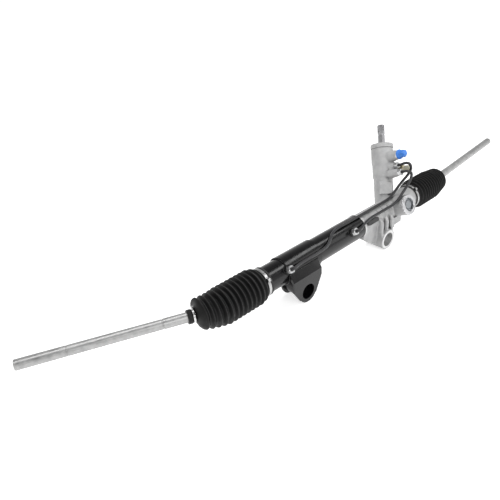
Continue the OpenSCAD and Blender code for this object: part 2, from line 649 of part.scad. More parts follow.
module left_bellows() color([0.1, 0.1, 0.1]) on_rack()
    bellows([left_cuff_x, 0, 0], [-1, 0, 0], [left_ball_x, 0, 0], left_rod_dir, left_fold_reach);
module right_bellows() color([0.1, 0.1, 0.1]) on_rack()
    bellows([right_cuff_x, 0, 0], [1, 0, 0], [right_ball_x, 0, 0], right_rod_dir, right_fold_reach);

// Clamps: a flat band with a pinched ear on each tube, and two turns of spring wire on each rod
clamp_w = 7;
band_t = 0.9;
ear_r = 2;
wire_d = 2;
wire_end_l = 5;
module pinched_ear() difference() {
    union() {
        polygon([[0, -3.4], [ear_r, -1.2], [ear_r, 1.2], [0, 3.4]]);
        translate([1.5 * ear_r, 0]) circle(r = ear_r);
    }
    translate([1.5 * ear_r, 0]) circle(r = ear_r - band_t);
}
module band_clamp(r_in, w, ear) {
    ring(r_in + band_t, r_in, w);
    rotate([0, 0, ear]) translate([r_in + band_t / 2, 0, 0.5]) linear_extrude(w - 1) pinched_ear();
}
module wire_clip(r_in, ends) {
    turn_gap = 0.45 * wire_d;
    rotate_extrude() for (turn = [-1, 1])
        translate([r_in + wire_d / 2, turn * turn_gap]) rotate(15) circle(d = wire_d, $fn = 12);
    for (turn = [-1, 1]) rotate([0, 0, ends + 8 * turn]) translate([r_in + wire_d / 2, 0, turn * turn_gap])
        rotate([0, 90, 0]) cylinder(d = wire_d - 0.4, h = wire_end_l, $fn = 6);
}
module left_bellows_clamp() color("silver") on_rack()
    along_x(left_cuff_x - 11) band_clamp(tube_r + 2.05, clamp_w, 205);
module right_bellows_clamp() color("silver") on_rack()
    along_x(right_cuff_x + 4) band_clamp(tube_r + 2.05, clamp_w, 215);
module rod_clamp(fold_reach) translate([0, 0, fold_reach + clamp_place]) wire_clip(rod_inner_r + 2.3, 200);
module left_rod_clamp() color("silver") on_rack() on_left_rod() rod_clamp(left_fold_reach);
module right_rod_clamp() color("silver") on_rack() on_right_rod() rod_clamp(right_fold_reach);

// Rack bar: round bar with the inclined teeth cut into a flat
first_space = -14;
last_space = 12;
module tooth_cutter() {
    half_ref = tooth_pitch / 4;
    half_top = half_ref + (rack_ref_u - rack_tip_u) * tan(pressure_angle);
    half_root = half_ref - (rack_root_u - rack_ref_u) * tan(pressure_angle);
    left = (first_space - 0.5) * tooth_pitch;
    right = (last_space + 0.5) * tooth_pitch;
    translate([0, 0, -55]) linear_extrude(110) polygon(concat(
        [[right, -rack_tip_u], [right, -rack_tip_u + 8], [left, -rack_tip_u + 8], [left, -rack_tip_u]],
        [for (k = [first_space : last_space]) for (q = [[-half_top, rack_tip_u], [-half_root, rack_root_u],
                                                       [half_root, rack_root_u], [half_top, rack_tip_u]])
            [k * tooth_pitch + q[0], -q[1]]]
    ));
}
module rack_bar() color("silver") on_rack() difference() {
    along_x(left_ball_x + socket_back) cylinder(r = rack_r, h = right_ball_x - left_ball_x - 2 * socket_back);
    in_pinion() tooth_cutter();
    along_x(left_ball_x + socket_back - 1) cylinder(r = stud_r, h = stud_length + 3);
    along_x(right_ball_x - socket_back - stud_length - 2) cylinder(r = stud_r, h = stud_length + 3);
}
module rack_piston() color("silver") on_rack() difference() {
    along_x(piston_x - piston_w / 2) ring(tube_bore_r - 0.35, rack_r, piston_w);
    along_x(piston_x - 2.5) ring(tube_bore_r + 1, tube_bore_r - 3, 5);
}
module piston_ring() color([0.2, 0.2, 0.2]) on_rack()
    along_x(piston_x - 2.4) ring(tube_bore_r - running_fit, tube_bore_r - 3, 4.8);

// Inner ball joints
module ball_socket() difference() {
    union() {
        translate([0, 0, -socket_back - stud_length]) cylinder(r = stud_r - 0.02, h = stud_length + 1);
        translate([0, 0, -socket_back]) cylinder(r = socket_r, h = socket_back + 4);
        translate([0, 0, 4]) cylinder(r1 = socket_r, r2 = socket_r - 3, h = socket_front - 4);
    }
    sphere(r = cup_r);
    mouth_r = cup_r * sin(mouth_angle);
    mouth_h = cup_r * cos(mouth_angle);
    translate([0, 0, mouth_h - 1]) cylinder(r1 = mouth_r - 0.9, r2 = mouth_r + 3.8, h = 4.7);
    for (s = [-1, 1]) translate([s * 26.5 - 9, -25, -socket_back - eps]) cube([18, 50, 10]);
}
module left_ball_socket() color("dimgray") on_rack() along_x(left_ball_x) rotate([180, 0, 0]) ball_socket();
module right_ball_socket() color("dimgray") on_rack() along_x(right_ball_x) ball_socket();
seat_front_angle = 50;
seat_back_angle = 140;
module ball_seat() rotate_extrude() difference() {
    intersection() {
        circle(r = seat_r);
        polygon([[0, 0], [60 * sin(seat_front_angle), 60 * cos(seat_front_angle)], [60, 0],
                 [60 * sin(seat_back_angle), 60 * cos(seat_back_angle)]]);
    }
    circle(r = ball_r + running_fit);
}
module left_ball_seat() color("ivory") on_rack() on_left_seat() ball_seat();
module right_ball_seat() color("ivory") on_rack() on_right_seat() ball_seat();
rod_step = 88;
flats_start = 196;
flats_end = 215;
end_start = 238;
module tie_rod() difference() {
    union() {
        sphere(r = ball_r);
        cylinder(r = neck_r, h = 15);
        translate([0, 0, 15]) cylinder(r1 = neck_r, r2 = rod_inner_r, h = 4);
        translate([0, 0, 19]) cylinder(r = rod_inner_r, h = rod_step - 19);
        translate([0, 0, rod_step]) cylinder(r1 = rod_inner_r, r2 = rod_r, h = 1.5);
        translate([0, 0, rod_step + 1.5]) cylinder(r = rod_r, h = rod_length - rod_step - 2.5);
        translate([0, 0, rod_length - 1]) cylinder(r1 = rod_r, r2 = rod_r - 1, h = 1);
    }
    translate([0, 0, rod_length - rod_hole_depth]) cylinder(d = rod_hole_d, h = rod_hole_depth + 1);
    translate([0, 0, end_start - 1]) difference() {
        cylinder(r = rod_r + 1, h = 1.2);
        cylinder(r = rod_r - 0.4, h = 1.2);
    }
    for (s = [-1, 1]) translate([-12, s * 12.4 - 5, flats_start]) cube([24, 10, flats_end - flats_start]);
}
module left_tie_rod() color("lightgray") on_rack() on_left_rod() tie_rod();
module right_tie_rod() color("lightgray") on_rack() on_right_rod() tie_rod();

// Pinion with involute teeth
function involute_angle(r) = let (a = acos(base_r / r)) tan(a) * 180 / PI - a;
half_tooth = 90 / pinion_teeth + 360 * 0.4 * tan(pressure_angle) / (PI * pinion_teeth);
function flank_angle(r) = half_tooth + involute_angle(pitch_r) - involute_angle(max(r, base_r));
flank_steps = 5;
function tooth_side(sign) = concat(
    [[pinion_root_r, flank_angle(base_r) * sign]],
    [for (i = [0 : flank_steps])
        let (r = base_r + (pinion_tip_r - base_r) * i / flank_steps) [r, flank_angle(r) * sign]]
);
module pinion_section() polygon([
    for (k = [0 : pinion_teeth - 1])
        let (up = tooth_side(-1), down = tooth_side(1))
        for (p = concat(up, [for (i = [len(down) - 1 : -1 : 0]) down[i]]))
            let (a = -90 + 360 * k / pinion_teeth + p[1]) p[0] * [cos(a), sin(a)]
]);
module pinion_shaft() color("gray") on_rack() in_pinion() difference() {
    union() {
        translate([0, 0, -gear_half]) linear_extrude(2 * gear_half) pinion_section();
        translate([0, 0, lower_race_h - 6]) cylinder(r = lower_journal_r - 1.5, h = 20);
        translate([0, 0, lower_race_h]) cylinder(r = lower_journal_r, h = -lower_race_h - gear_half);
        translate([0, 0, gear_half]) cylinder(r = upper_journal_r, h = head_h - gear_half);
        translate([0, 0, head_h]) cylinder(r = head_r, h = sleeve_h - head_h);
    }
    translate([0, 0, torsion_foot - 2]) cylinder(r = torsion_r + running_fit, h = 60);
    translate([0, 0, sleeve_h - 12]) cylinder(r = 8.55, h = 20);
}
module lower_bearing_inner_race() color("silver") on_rack() in_pinion()
    translate([0, 0, lower_race_h]) difference() {
    ring(9.8, lower_journal_r, lower_race_w);
    translate([0, 0, lower_race_w / 2]) rotate_extrude() translate([11.6, 0]) circle(r = 2.45, $fn = 32);
}
module pinion_lock_nut() color("silver") on_rack() in_pinion() translate([0, 0, lower_race_h - 6]) difference() {
    hex(18, 6);
    translate([0, 0, -1]) cylinder(r = lower_journal_r - 1.5, h = 10);
}

// Rotary valve: four rings part the sleeve into the three grooves that feed the ports
seal_places = [for (share = [0.14, 0.38, 0.62, 0.86]) share * valve_sleeve_h];
groove_places = [for (share = [0.26, 0.5, 0.74]) share * valve_sleeve_h];
slot_l = valve_sleeve_h - 18;
module valve_sleeve() color("silver") on_rack() in_pinion() translate([0, 0, sleeve_h]) difference() {
    ring(valve_sleeve_r, valve_core_r + running_fit, valve_sleeve_h);
    for (h = seal_places) translate([0, 0, h - 1.2]) ring(valve_sleeve_r + 1, valve_sleeve_r - 1.5, 2.4);
    for (h = groove_places) {
        translate([0, 0, h - 2]) ring(valve_sleeve_r + 1, valve_sleeve_r - 2, 4);
        for (a = [0 : 90 : 270])
            rotate([0, 0, a + h]) translate([0, 0, h]) rotate([90, 0, 0]) cylinder(r = 1.2, h = 30);
    }
}
module valve_rings() color([0.25, 0.2, 0.18]) on_rack() in_pinion() translate([0, 0, sleeve_h])
    for (h = seal_places) translate([0, 0, h - 1.1]) ring(valve_bore_r - running_fit, valve_sleeve_r - 1.5, 2.2);
module input_shaft() color("silver") on_rack() in_pinion() difference() {
    union() {
        translate([0, 0, sleeve_h - 10]) cylinder(r = 8.5, h = 12);
        translate([0, 0, sleeve_h + 1]) cylinder(r = valve_core_r, h = top_bearing_h - sleeve_h - 1);
        translate([0, 0, top_bearing_h - 1]) cylinder(r = shaft_bearing_r, h = top_bearing_w + 1);
        translate([0, 0, top_bearing_h + top_bearing_w])
            cylinder(d = input_d, h = shaft_top - top_bearing_h - top_bearing_w - 1);
        translate([0, 0, shaft_top - 1]) cylinder(r1 = input_d / 2, r2 = input_d / 2 - 1, h = 1);
    }
    for (a = [0 : 60 : 300]) rotate([0, 0, a + 15])
        translate([valve_core_r - 0.8, -1.2, sleeve_h + 9]) cube([3, 2.4, slot_l]);
    translate([0, 0, shaft_top - serration_length - 3]) ring(input_d / 2 + 1, input_d / 2 - 0.8, 3);
    translate([0, 0, sleeve_h - 20]) cylinder(r = torsion_r, h = shaft_top - sleeve_h + 12);
}
module torsion_bar() color("gray") on_rack() in_pinion() {
    translate([0, 0, torsion_foot]) cylinder(r = torsion_r, h = torsion_pin_l);
    translate([0, 0, torsion_foot]) cylinder(r = torsion_r - 1, h = torsion_top - torsion_foot);
    translate([0, 0, torsion_top - torsion_head_l]) cylinder(r = torsion_r, h = torsion_head_l);
}

pinion_housing();
cylinder_tube();
tube_sleeve();
mount_bracket();
bracket_collar();
tube_port_bosses();
left_pipe();
right_pipe();
tube_pipe_nuts();
valve_pipe_nuts();
pipe_pad();
return_fitting();
return_cap();
supply_cap();
yoke_plug();
yoke_lock_ring();
yoke_spring();
rack_yoke();
yoke_liner();
outer_bulkhead();
inner_bulkhead();
rack_seals();
rack_end_bush();
lower_bearing_outer_race();
needle_bearing();
pinion_oil_seal();
pinion_end_cap();
upper_shaft_bearing();
input_shaft_seal();
dust_cover();
left_bellows();
right_bellows();
left_bellows_clamp();
right_bellows_clamp();
rack_bar();
rack_piston();
piston_ring();
left_ball_socket();
right_ball_socket();
left_ball_seat();
right_ball_seat();
left_tie_rod();
right_tie_rod();
left_rod_clamp();
right_rod_clamp();
pinion_shaft();
lower_bearing_inner_race();
pinion_lock_nut();
valve_sleeve();
valve_rings();
input_shaft();
torsion_bar();
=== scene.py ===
import bpy, bmesh
from math import cos, sin, pi, radians
from mathutils import Matrix, Vector


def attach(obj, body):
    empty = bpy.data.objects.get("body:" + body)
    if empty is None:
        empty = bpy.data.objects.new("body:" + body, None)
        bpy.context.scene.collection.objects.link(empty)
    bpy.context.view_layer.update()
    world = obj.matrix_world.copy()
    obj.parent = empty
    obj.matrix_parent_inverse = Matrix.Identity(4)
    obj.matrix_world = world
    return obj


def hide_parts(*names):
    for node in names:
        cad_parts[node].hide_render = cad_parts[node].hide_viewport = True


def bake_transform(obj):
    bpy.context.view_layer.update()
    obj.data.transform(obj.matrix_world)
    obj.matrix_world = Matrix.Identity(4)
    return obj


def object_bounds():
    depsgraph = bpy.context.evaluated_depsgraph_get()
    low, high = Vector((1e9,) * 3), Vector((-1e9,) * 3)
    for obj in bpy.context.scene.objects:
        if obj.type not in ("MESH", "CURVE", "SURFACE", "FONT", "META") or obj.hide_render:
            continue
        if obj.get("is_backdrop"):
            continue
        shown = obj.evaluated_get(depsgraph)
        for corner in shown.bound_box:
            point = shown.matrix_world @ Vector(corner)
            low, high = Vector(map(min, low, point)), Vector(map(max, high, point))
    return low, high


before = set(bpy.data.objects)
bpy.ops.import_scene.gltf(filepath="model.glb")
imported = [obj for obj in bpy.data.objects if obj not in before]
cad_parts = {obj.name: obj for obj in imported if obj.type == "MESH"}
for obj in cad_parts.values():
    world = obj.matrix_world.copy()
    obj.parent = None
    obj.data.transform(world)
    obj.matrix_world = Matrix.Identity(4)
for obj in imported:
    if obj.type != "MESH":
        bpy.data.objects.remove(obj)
cad_low, cad_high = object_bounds()


def placed(name, data):
    """A new object in the scene."""
    made = bpy.data.objects.new(name, data)
    bpy.context.scene.collection.objects.link(made)
    return made


# The camera stands above and in front of the left tie rod and looks down along the gear.
# The lens and the place come from the gear's straight lines in the photograph.
view_right = Vector((0.743880, -0.664379, -0.072415))
view_up = Vector((0.390650, 0.344345, 0.853709))
view_back = Vector((-0.542251, -0.663346, 0.515690))
camera_place = Vector((-0.795459, -0.488536, 0.533812))
camera_data = bpy.data.cameras.new("camera")
camera_data.lens = 33.5499
camera_data.sensor_width = 36.0
camera_data.sensor_fit = "HORIZONTAL"
camera_data.clip_start = 0.01
camera = placed("camera", camera_data)
camera.matrix_world = Matrix.Translation(camera_place) @ Matrix(
    (view_right, view_up, view_back)).transposed().to_4x4()
bpy.context.scene.camera = camera

# A white studio: a matt floor just under the gear and four soft boxes.
# The long box overhead and the strip beside it draw the pale streaks along the black tube.
bpy.context.scene.view_settings.view_transform = "Standard"


def soft_box(name, place, aim, size, size_y, power):
    data = bpy.data.lights.new(name, "AREA")
    data.shape = "RECTANGLE"
    data.size = size
    data.size_y = size_y
    data.energy = power
    lamp = placed(name, data)
    lamp.location = place
    lamp.rotation_euler = (Vector(aim) - Vector(place)).to_track_quat("-Z", "Y").to_euler()


gear_middle = (-0.10, 0.04, 0.05)
soft_box("overhead_box", (-0.38, 0.35, 1.5), (-0.3, 0.04, 0.05), 1.4, 0.35, 10)
soft_box("strip_box", (0.62, -0.49, 1.28), gear_middle, 1.0, 0.3, 5)
soft_box("front_box", (-0.5, -1.45, 1.0), gear_middle, 0.8, 0.7, 8)
soft_box("right_box", (1.1, -1.0, 0.8), gear_middle, 0.7, 0.7, 2)


def ray_kinds(nodes, links):
    """Two numbers: 1 for camera rays, and 1 for camera, glossy or transmission rays."""
    path = nodes.new("ShaderNodeLightPath")
    first, second = nodes.new("ShaderNodeMath"), nodes.new("ShaderNodeMath")
    first.operation = second.operation = "MAXIMUM"
    links.new(path.outputs["Is Camera Ray"], first.inputs[0])
    links.new(path.outputs["Is Glossy Ray"], first.inputs[1])
    links.new(first.outputs[0], second.inputs[0])
    links.new(path.outputs["Is Transmission Ray"], second.inputs[1])
    return path.outputs["Is Camera Ray"], second.outputs[0]


# The white sweep stands round the floor; the ceiling over it is darker, so metal shows a pale side and a dark side.
world = bpy.data.worlds.new("studio")
bpy.context.scene.world = world
world.use_nodes = True
sky_nodes, sky_links = world.node_tree.nodes, world.node_tree.links
background = sky_nodes["Background"]
sky_place = sky_nodes.new("ShaderNodeTexCoord")
sky_height = sky_nodes.new("ShaderNodeSeparateXYZ")
ceiling = sky_nodes.new("ShaderNodeMapRange")
ceiling.inputs["From Min"].default_value = 0.05
ceiling.inputs["From Max"].default_value = 0.75
ceiling.inputs["To Min"].default_value = 1.0
ceiling.inputs["To Max"].default_value = 0.22
sky_links.new(sky_place.outputs["Generated"], sky_height.inputs[0])
sky_links.new(sky_height.outputs["Z"], ceiling.inputs["Value"])
sky_seen, sky_mirrored = ray_kinds(sky_nodes, sky_links)
in_mirror = sky_nodes.new("ShaderNodeMix")
in_mirror.inputs[2].default_value = 0.38
in_view = sky_nodes.new("ShaderNodeMix")
in_view.inputs[3].default_value = 1.0
sky_links.new(sky_mirrored, in_mirror.inputs[0])
sky_links.new(ceiling.outputs[0], in_mirror.inputs[3])
sky_links.new(sky_seen, in_view.inputs[0])
sky_links.new(in_mirror.outputs[0], in_view.inputs[2])
sky_links.new(in_view.outputs[0], background.inputs["Strength"])
background.inputs["Color"].default_value = (1, 1, 1, 1)

floor_half = 40.0
floor_z = cad_low.z - 0.0005
floor_mesh = bpy.data.meshes.new("floor")
floor_mesh.from_pydata(
    [(-floor_half, -floor_half, floor_z), (floor_half, -floor_half, floor_z),
     (floor_half, floor_half, floor_z), (-floor_half, floor_half, floor_z)], [], [(0, 1, 2, 3)])
floor = placed("floor", floor_mesh)
floor_paint = bpy.data.materials.new("white_floor")
floor_paint.use_nodes = True
floor_nodes, floor_links = floor_paint.node_tree.nodes, floor_paint.node_tree.links
floor_shader = floor_nodes["Principled BSDF"]
floor_shader.inputs["Base Color"].default_value = (0.86, 0.86, 0.86, 1)
floor_shader.inputs["Roughness"].default_value = 0.9
floor_shader.inputs["Specular IOR Level"].default_value = 0.0
floor_shader.inputs["Emission Color"].default_value = (1, 1, 1, 1)
floor_glow = floor_nodes.new("ShaderNodeMapRange")
floor_glow.inputs["To Min"].default_value = 0.0
floor_glow.inputs["To Max"].default_value = 0.72
floor_links.new(ray_kinds(floor_nodes, floor_links)[1], floor_glow.inputs["Value"])
floor_links.new(floor_glow.outputs[0], floor_shader.inputs["Emission Strength"])
floor_mesh.materials.append(floor_paint)
floor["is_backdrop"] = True


# The pinion housing is one aluminium casting: a barrel round the rack, the valve tower and the mounting boss.
# Its skin is the mould's fine grain with darker and lighter clouds, satin grey.
def finish(name, colour, metal, rough, coat=0.0, specular=0.5):
    material = bpy.data.materials.new(name)
    material.use_nodes = True
    shader = material.node_tree.nodes["Principled BSDF"]
    shader.inputs["Base Color"].default_value = (*colour, 1)
    shader.inputs["Metallic"].default_value = metal
    shader.inputs["Roughness"].default_value = rough
    shader.inputs["Coat Weight"].default_value = coat
    shader.inputs["Coat Roughness"].default_value = 0.04
    shader.inputs["Specular IOR Level"].default_value = specular
    return material


def pattern(material, scale, detail=3.0, stretch=(1, 1, 1)):
    """A noise on Object coordinates; scale is in cells per metre."""
    nodes, links = material.node_tree.nodes, material.node_tree.links
    coords = nodes.new("ShaderNodeTexCoord")
    mapping = nodes.new("ShaderNodeMapping")
    mapping.inputs["Scale"].default_value = stretch
    texture = nodes.new("ShaderNodeTexNoise")
    texture.inputs["Scale"].default_value = scale
    texture.inputs["Detail"].default_value = detail
    links.new(coords.outputs["Object"], mapping.inputs["Vector"])
    links.new(mapping.outputs[0], texture.inputs["Vector"])
    return texture.outputs[0]


def spread(material, value, low, high, start=0.3, end=0.7):
    """A pattern turned into a colour or a number between low and high."""
    nodes, links = material.node_tree.nodes, material.node_tree.links
    if isinstance(low, tuple):
        ramp = nodes.new("ShaderNodeValToRGB")
        ramp.color_ramp.elements[0].position = start
        ramp.color_ramp.elements[0].color = (*low, 1)
        ramp.color_ramp.elements[1].position = end
        ramp.color_ramp.elements[1].color = (*high, 1)
        links.new(value, ramp.inputs["Fac"])
        return ramp.outputs["Color"]
    span = nodes.new("ShaderNodeMapRange")
    span.inputs["From Min"].default_value = start
    span.inputs["From Max"].default_value = end
    span.inputs["To Min"].default_value = low
    span.inputs["To Max"].default_value = high
    links.new(value, span.inputs["Value"])
    return span.outputs[0]


def plug(material, value, socket):
    material.node_tree.links.new(value, material.node_tree.nodes["Principled BSDF"].inputs[socket])


def sheen(material, value, low, high):
    """The pattern varies the roughness between low and high."""
    plug(material, spread(material, value, low, high), "Roughness")


def relief(material, layers):
    """Bumps laid over each other: (pattern, depth in metres, strength)."""
    nodes, links = material.node_tree.nodes, material.node_tree.links
    below = None
    for value, depth, strength in layers:
        bump = nodes.new("ShaderNodeBump")
        bump.inputs["Strength"].default_value = strength
        bump.inputs["Distance"].default_value = depth
        links.new(value, bump.inputs["Height"])
        if below:
            links.new(below, bump.inputs["Normal"])
        below = bump.outputs[0]
    plug(material, below, "Normal")


def corner_shaded(material, colour, start, end, dark):
    """A colour made darker in the corners and pockets by ambient occlusion: painted shade."""
    nodes, links = material.node_tree.nodes, material.node_tree.links
    corners = nodes.new("ShaderNodeAmbientOcclusion")
    corners.inputs["Distance"].default_value = 0.014
    corners.samples = 8
    folds = spread(material, corners.outputs["AO"], dark, (1, 1, 1), start, end)
    mix = nodes.new("ShaderNodeMix")
    mix.data_type, mix.blend_type = "RGBA", "MULTIPLY"
    mix.inputs["Factor"].default_value = 1.0
    links.new(colour, mix.inputs[6])
    links.new(folds, mix.inputs[7])
    return mix.outputs[2]


cast_aluminium = finish("cast_aluminium", (0.5, 0.5, 0.5), 0.3, 0.55)
cast_clouds = pattern(cast_aluminium, 70, 5)
cast_grain = pattern(cast_aluminium, 1500, 2)
cast_skin = pattern(cast_aluminium, 260, 4)
cast_colour = spread(cast_aluminium, cast_clouds, (0.44, 0.442, 0.445), (0.55, 0.55, 0.548))
# The casting's colour is darkened in its corners and pockets by ambient occlusion: painted shade.
plug(cast_aluminium, corner_shaded(cast_aluminium, cast_colour, 0.2, 0.62, (0.15, 0.15, 0.15)), "Base Color")
sheen(cast_aluminium, cast_skin, 0.46, 0.62)
relief(cast_aluminium, [(cast_grain, 0.0004, 0.5), (cast_skin, 0.0008, 0.25)])


def dress(node, material):
    """A CAD node keeps its own shape and takes a finish."""
    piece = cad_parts[node]
    piece.data.materials.clear()
    piece.data.materials.append(material)


# The cylinder is drawn steel tube with a sleeve, a bracket and two port bosses welded on.
# All of it is dipped in gloss black paint after welding, with a faint orange-peel skin.
gloss_black = finish("gloss_black_paint", (0.004, 0.004, 0.0045), 0.0, 0.16, coat=0.15, specular=0.3)
paint_skin = pattern(gloss_black, 420, 3)
paint_dust = pattern(gloss_black, 60, 4)
sheen(gloss_black, paint_dust, 0.15, 0.27)
relief(gloss_black, [(paint_skin, 0.0003, 0.18)])
for node in ("cylinder_tube", "tube_sleeve", "mount_bracket", "bracket_collar", "tube_port_bosses"):
    dress(node, gloss_black)


# Two steel pipes carry oil from the valve to each side of the piston.
# They are bent from 6 mm tube with a satin black coat, and flared under their nuts.
def piece(name, mesh, material, smooth=35):
    mesh.materials.clear()
    mesh.materials.append(material)
    mesh.shade_smooth()
    mesh.set_sharp_from_angle(angle=radians(smooth))
    return placed(name, mesh)


rack_axis = Vector((0.0, 0.038, 0.0465))
clock, incline = radians(24), radians(21.5)
pinion_foot = Vector((0.057, 0.01614, 0.0))
pinion_frame = (Matrix.Translation(rack_axis) @ Matrix.Rotation(-clock, 4, "X")
                @ Matrix.Translation(pinion_foot) @ Matrix.Rotation(incline, 4, "Y"))
yoke_frame = (Matrix.Translation(rack_axis) @ Matrix.Rotation(-clock, 4, "X")
              @ Matrix.Translation((pinion_foot.x, 0, 0)) @ Matrix.Rotation(radians(90), 4, "X"))
tube_r = 0.0255
nut_base, nut_height, pipe_bend, pipe_r = 0.0052, 0.009, 0.005, 0.003
pipe_reach = nut_height + pipe_bend + 0.0015
upper_port, lower_port = (0.0907, 0.035, 0.0), (0.0728, 0.049, -0.008)
tube_ports = {"left": (-0.299, radians(32)), "right": (-0.112, radians(31))}


def port_point(port, out):
    height, face, side = port
    return pinion_frame @ Vector((side, -(face + out), height))


def tube_point(x, angle, radius):
    return rack_axis + Vector((x, -radius * cos(angle), radius * sin(angle)))


left_route = [(90, -8, 98), (96, -15, 96), (97, -19, 86), (95.5, -18, 79), (92, -15, 70), (84, -8, 56),
              (72, -3, 41), (60, -3, 33), (50, -5, 30.2), (30, -7, 29.2), (-60, -7.3, 28.9),
              (-144, -7.3, 28.9), (-160, -11, 28), (-175, -19, 25), (-191, -26, 20), (-204, -28, 18.5),
              (-226, -29, 18.5), (-268, -29, 18.5), (-285, -34, 21.3)]
right_route = [(82, -20, 84), (88, -26, 80), (86, -28, 71), (76, -29, 60), (60, -29, 48), (43, -31, 40),
               (34, -28, 29), (24, -23, 22), (10, -22, 21), (-46, -22, 21), (-62, -24, 20),
               (-80, -27, 19), (-88, -30, 19.5), (-99, -36, 22)]


def empty_tree(name, inputs):
    """A geometry tree with named inputs: the tree and its input node."""
    tree = bpy.data.node_groups.new(name, "GeometryNodeTree")
    for label, kind in [("Geometry", "Geometry")] + inputs + [("Material", "Material")]:
        tree.interface.new_socket(label, in_out="INPUT", socket_type="NodeSocket" + kind)
    tree.interface.new_socket("Geometry", in_out="OUTPUT", socket_type="NodeSocketGeometry")
    return tree, tree.nodes.new("NodeGroupInput")


def put_out(tree, given, shape):
    """Ends a tree: its instances made real and painted with its Material input."""
    nodes, links = tree.nodes, tree.links
    real = nodes.new("GeometryNodeRealizeInstances")
    paint = nodes.new("GeometryNodeSetMaterial")
    result = nodes.new("NodeGroupOutput")
    links.new(shape, real.inputs["Geometry"])
    links.new(real.outputs["Geometry"], paint.inputs["Geometry"])
    links.new(given.outputs["Material"], paint.inputs["Material"])
    links.new(paint.outputs["Geometry"], result.inputs["Geometry"])


def pipe_tree():
    """Sweeps a round section along a curve: Radius and Sides are named inputs."""
    tree, given = empty_tree("pipe_sweep", [("Radius", "Float"), ("Sides", "Int")])
    nodes, links = tree.nodes, tree.links
    section = nodes.new("GeometryNodeCurvePrimitiveCircle")
    sweep = nodes.new("GeometryNodeCurveToMesh")
    sweep.inputs["Fill Caps"].default_value = True
    links.new(given.outputs["Radius"], section.inputs["Radius"])
    links.new(given.outputs["Sides"], section.inputs["Resolution"])
    links.new(given.outputs["Geometry"], sweep.inputs["Curve"])
    links.new(section.outputs["Curve"], sweep.inputs["Profile Curve"])
    put_out(tree, given, sweep.outputs["Mesh"])
    return tree


def evaluated(name, carrier):
    """What a carrier's modifiers make, as a plain mesh; the carrier is removed."""
    bpy.context.view_layer.update()
    mesh = bpy.data.meshes.new_from_object(carrier.evaluated_get(bpy.context.evaluated_depsgraph_get()))
    bpy.data.objects.remove(carrier)
    mesh.name = name
    return mesh


def grown(name, source, tree, values, smooth=35):
    """Runs a node tree on a source object and keeps the result as a plain piece."""
    carrier = placed(name + "_source", source)
    modifier = carrier.modifiers.new("nodes", "NODES")
    modifier.node_group = tree
    for item in tree.interface.items_tree:
        if item.in_out == "INPUT" and item.name in values:
            modifier[item.identifier] = values[item.name]
    return piece(name, evaluated(name, carrier), values["Material"], smooth)


def rounded(points, reach):
    """Corners of a route turned into short smooth curves."""
    path, steps = [points[0]], 7
    for before, corner, after in zip(points, points[1:], points[2:]):
        a = corner + (before - corner).normalized() * min(reach, (before - corner).length * 0.45)
        b = corner + (after - corner).normalized() * min(reach, (after - corner).length * 0.45)
        for i in range(steps + 1):
            t = i / steps
            path.append((1 - t) ** 2 * a + 2 * t * (1 - t) * corner + t * t * b)
    return path + [points[-1]]


def path_curve(name, points):
    data = bpy.data.curves.new(name, "CURVE")
    data.dimensions = "3D"
    spline = data.splines.new("POLY")
    spline.points.add(len(points) - 1)
    for slot, point in zip(spline.points, points):
        slot.co = (*point, 1)
    return data


satin_black = finish("black_coated_steel", (0.022, 0.022, 0.024), 0.0, 0.34)
coat_wear = pattern(satin_black, 200, 4)
sheen(satin_black, coat_wear, 0.28, 0.45)
relief(satin_black, [(pattern(satin_black, 900, 2), 0.0002, 0.3)])
sweep_tree = pipe_tree()
for side, port, route in (("left", upper_port, left_route), ("right", lower_port, right_route)):
    x, angle = tube_ports[side]
    points = [port_point(port, 0.0002), port_point(port, pipe_reach)]
    points += [rack_axis + Vector(p) / 1000 for p in route]
    points += [tube_point(x, angle, tube_r + nut_base + pipe_reach), tube_point(x, angle, tube_r + nut_base + 0.0002)]
    pipe = grown(side + "_steel_pipe", path_curve(side + "_route", rounded(points, 0.009)), sweep_tree,
                 {"Radius": pipe_r, "Sides": 20, "Material": satin_black})
    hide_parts(side + "_pipe")
    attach(pipe, "housing")


# The sleeve, the bracket and the port bosses are welded on: each bead is a row of overlapping ripples.
# The welds lie under the same black paint.
def bead_tree():
    """Flattened drops along a curve: Radius and Spacing are named inputs."""
    tree, given = empty_tree("weld_bead", [("Radius", "Float"), ("Spacing", "Float")])
    nodes, links = tree.nodes, tree.links
    places = nodes.new("GeometryNodeCurveToPoints")
    places.mode = "LENGTH"
    drop = nodes.new("GeometryNodeMeshIcoSphere")
    drop.inputs["Subdivisions"].default_value = 2
    drops = nodes.new("GeometryNodeInstanceOnPoints")
    drops.inputs["Scale"].default_value = (1, 1, 0.6)
    links.new(given.outputs["Geometry"], places.inputs["Curve"])
    links.new(given.outputs["Spacing"], places.inputs["Length"])
    links.new(given.outputs["Radius"], drop.inputs["Radius"])
    links.new(places.outputs["Points"], drops.inputs["Points"])
    links.new(places.outputs["Rotation"], drops.inputs["Rotation"])
    links.new(drop.outputs["Mesh"], drops.inputs["Instance"])
    put_out(tree, given, drops.outputs["Instances"])
    return tree


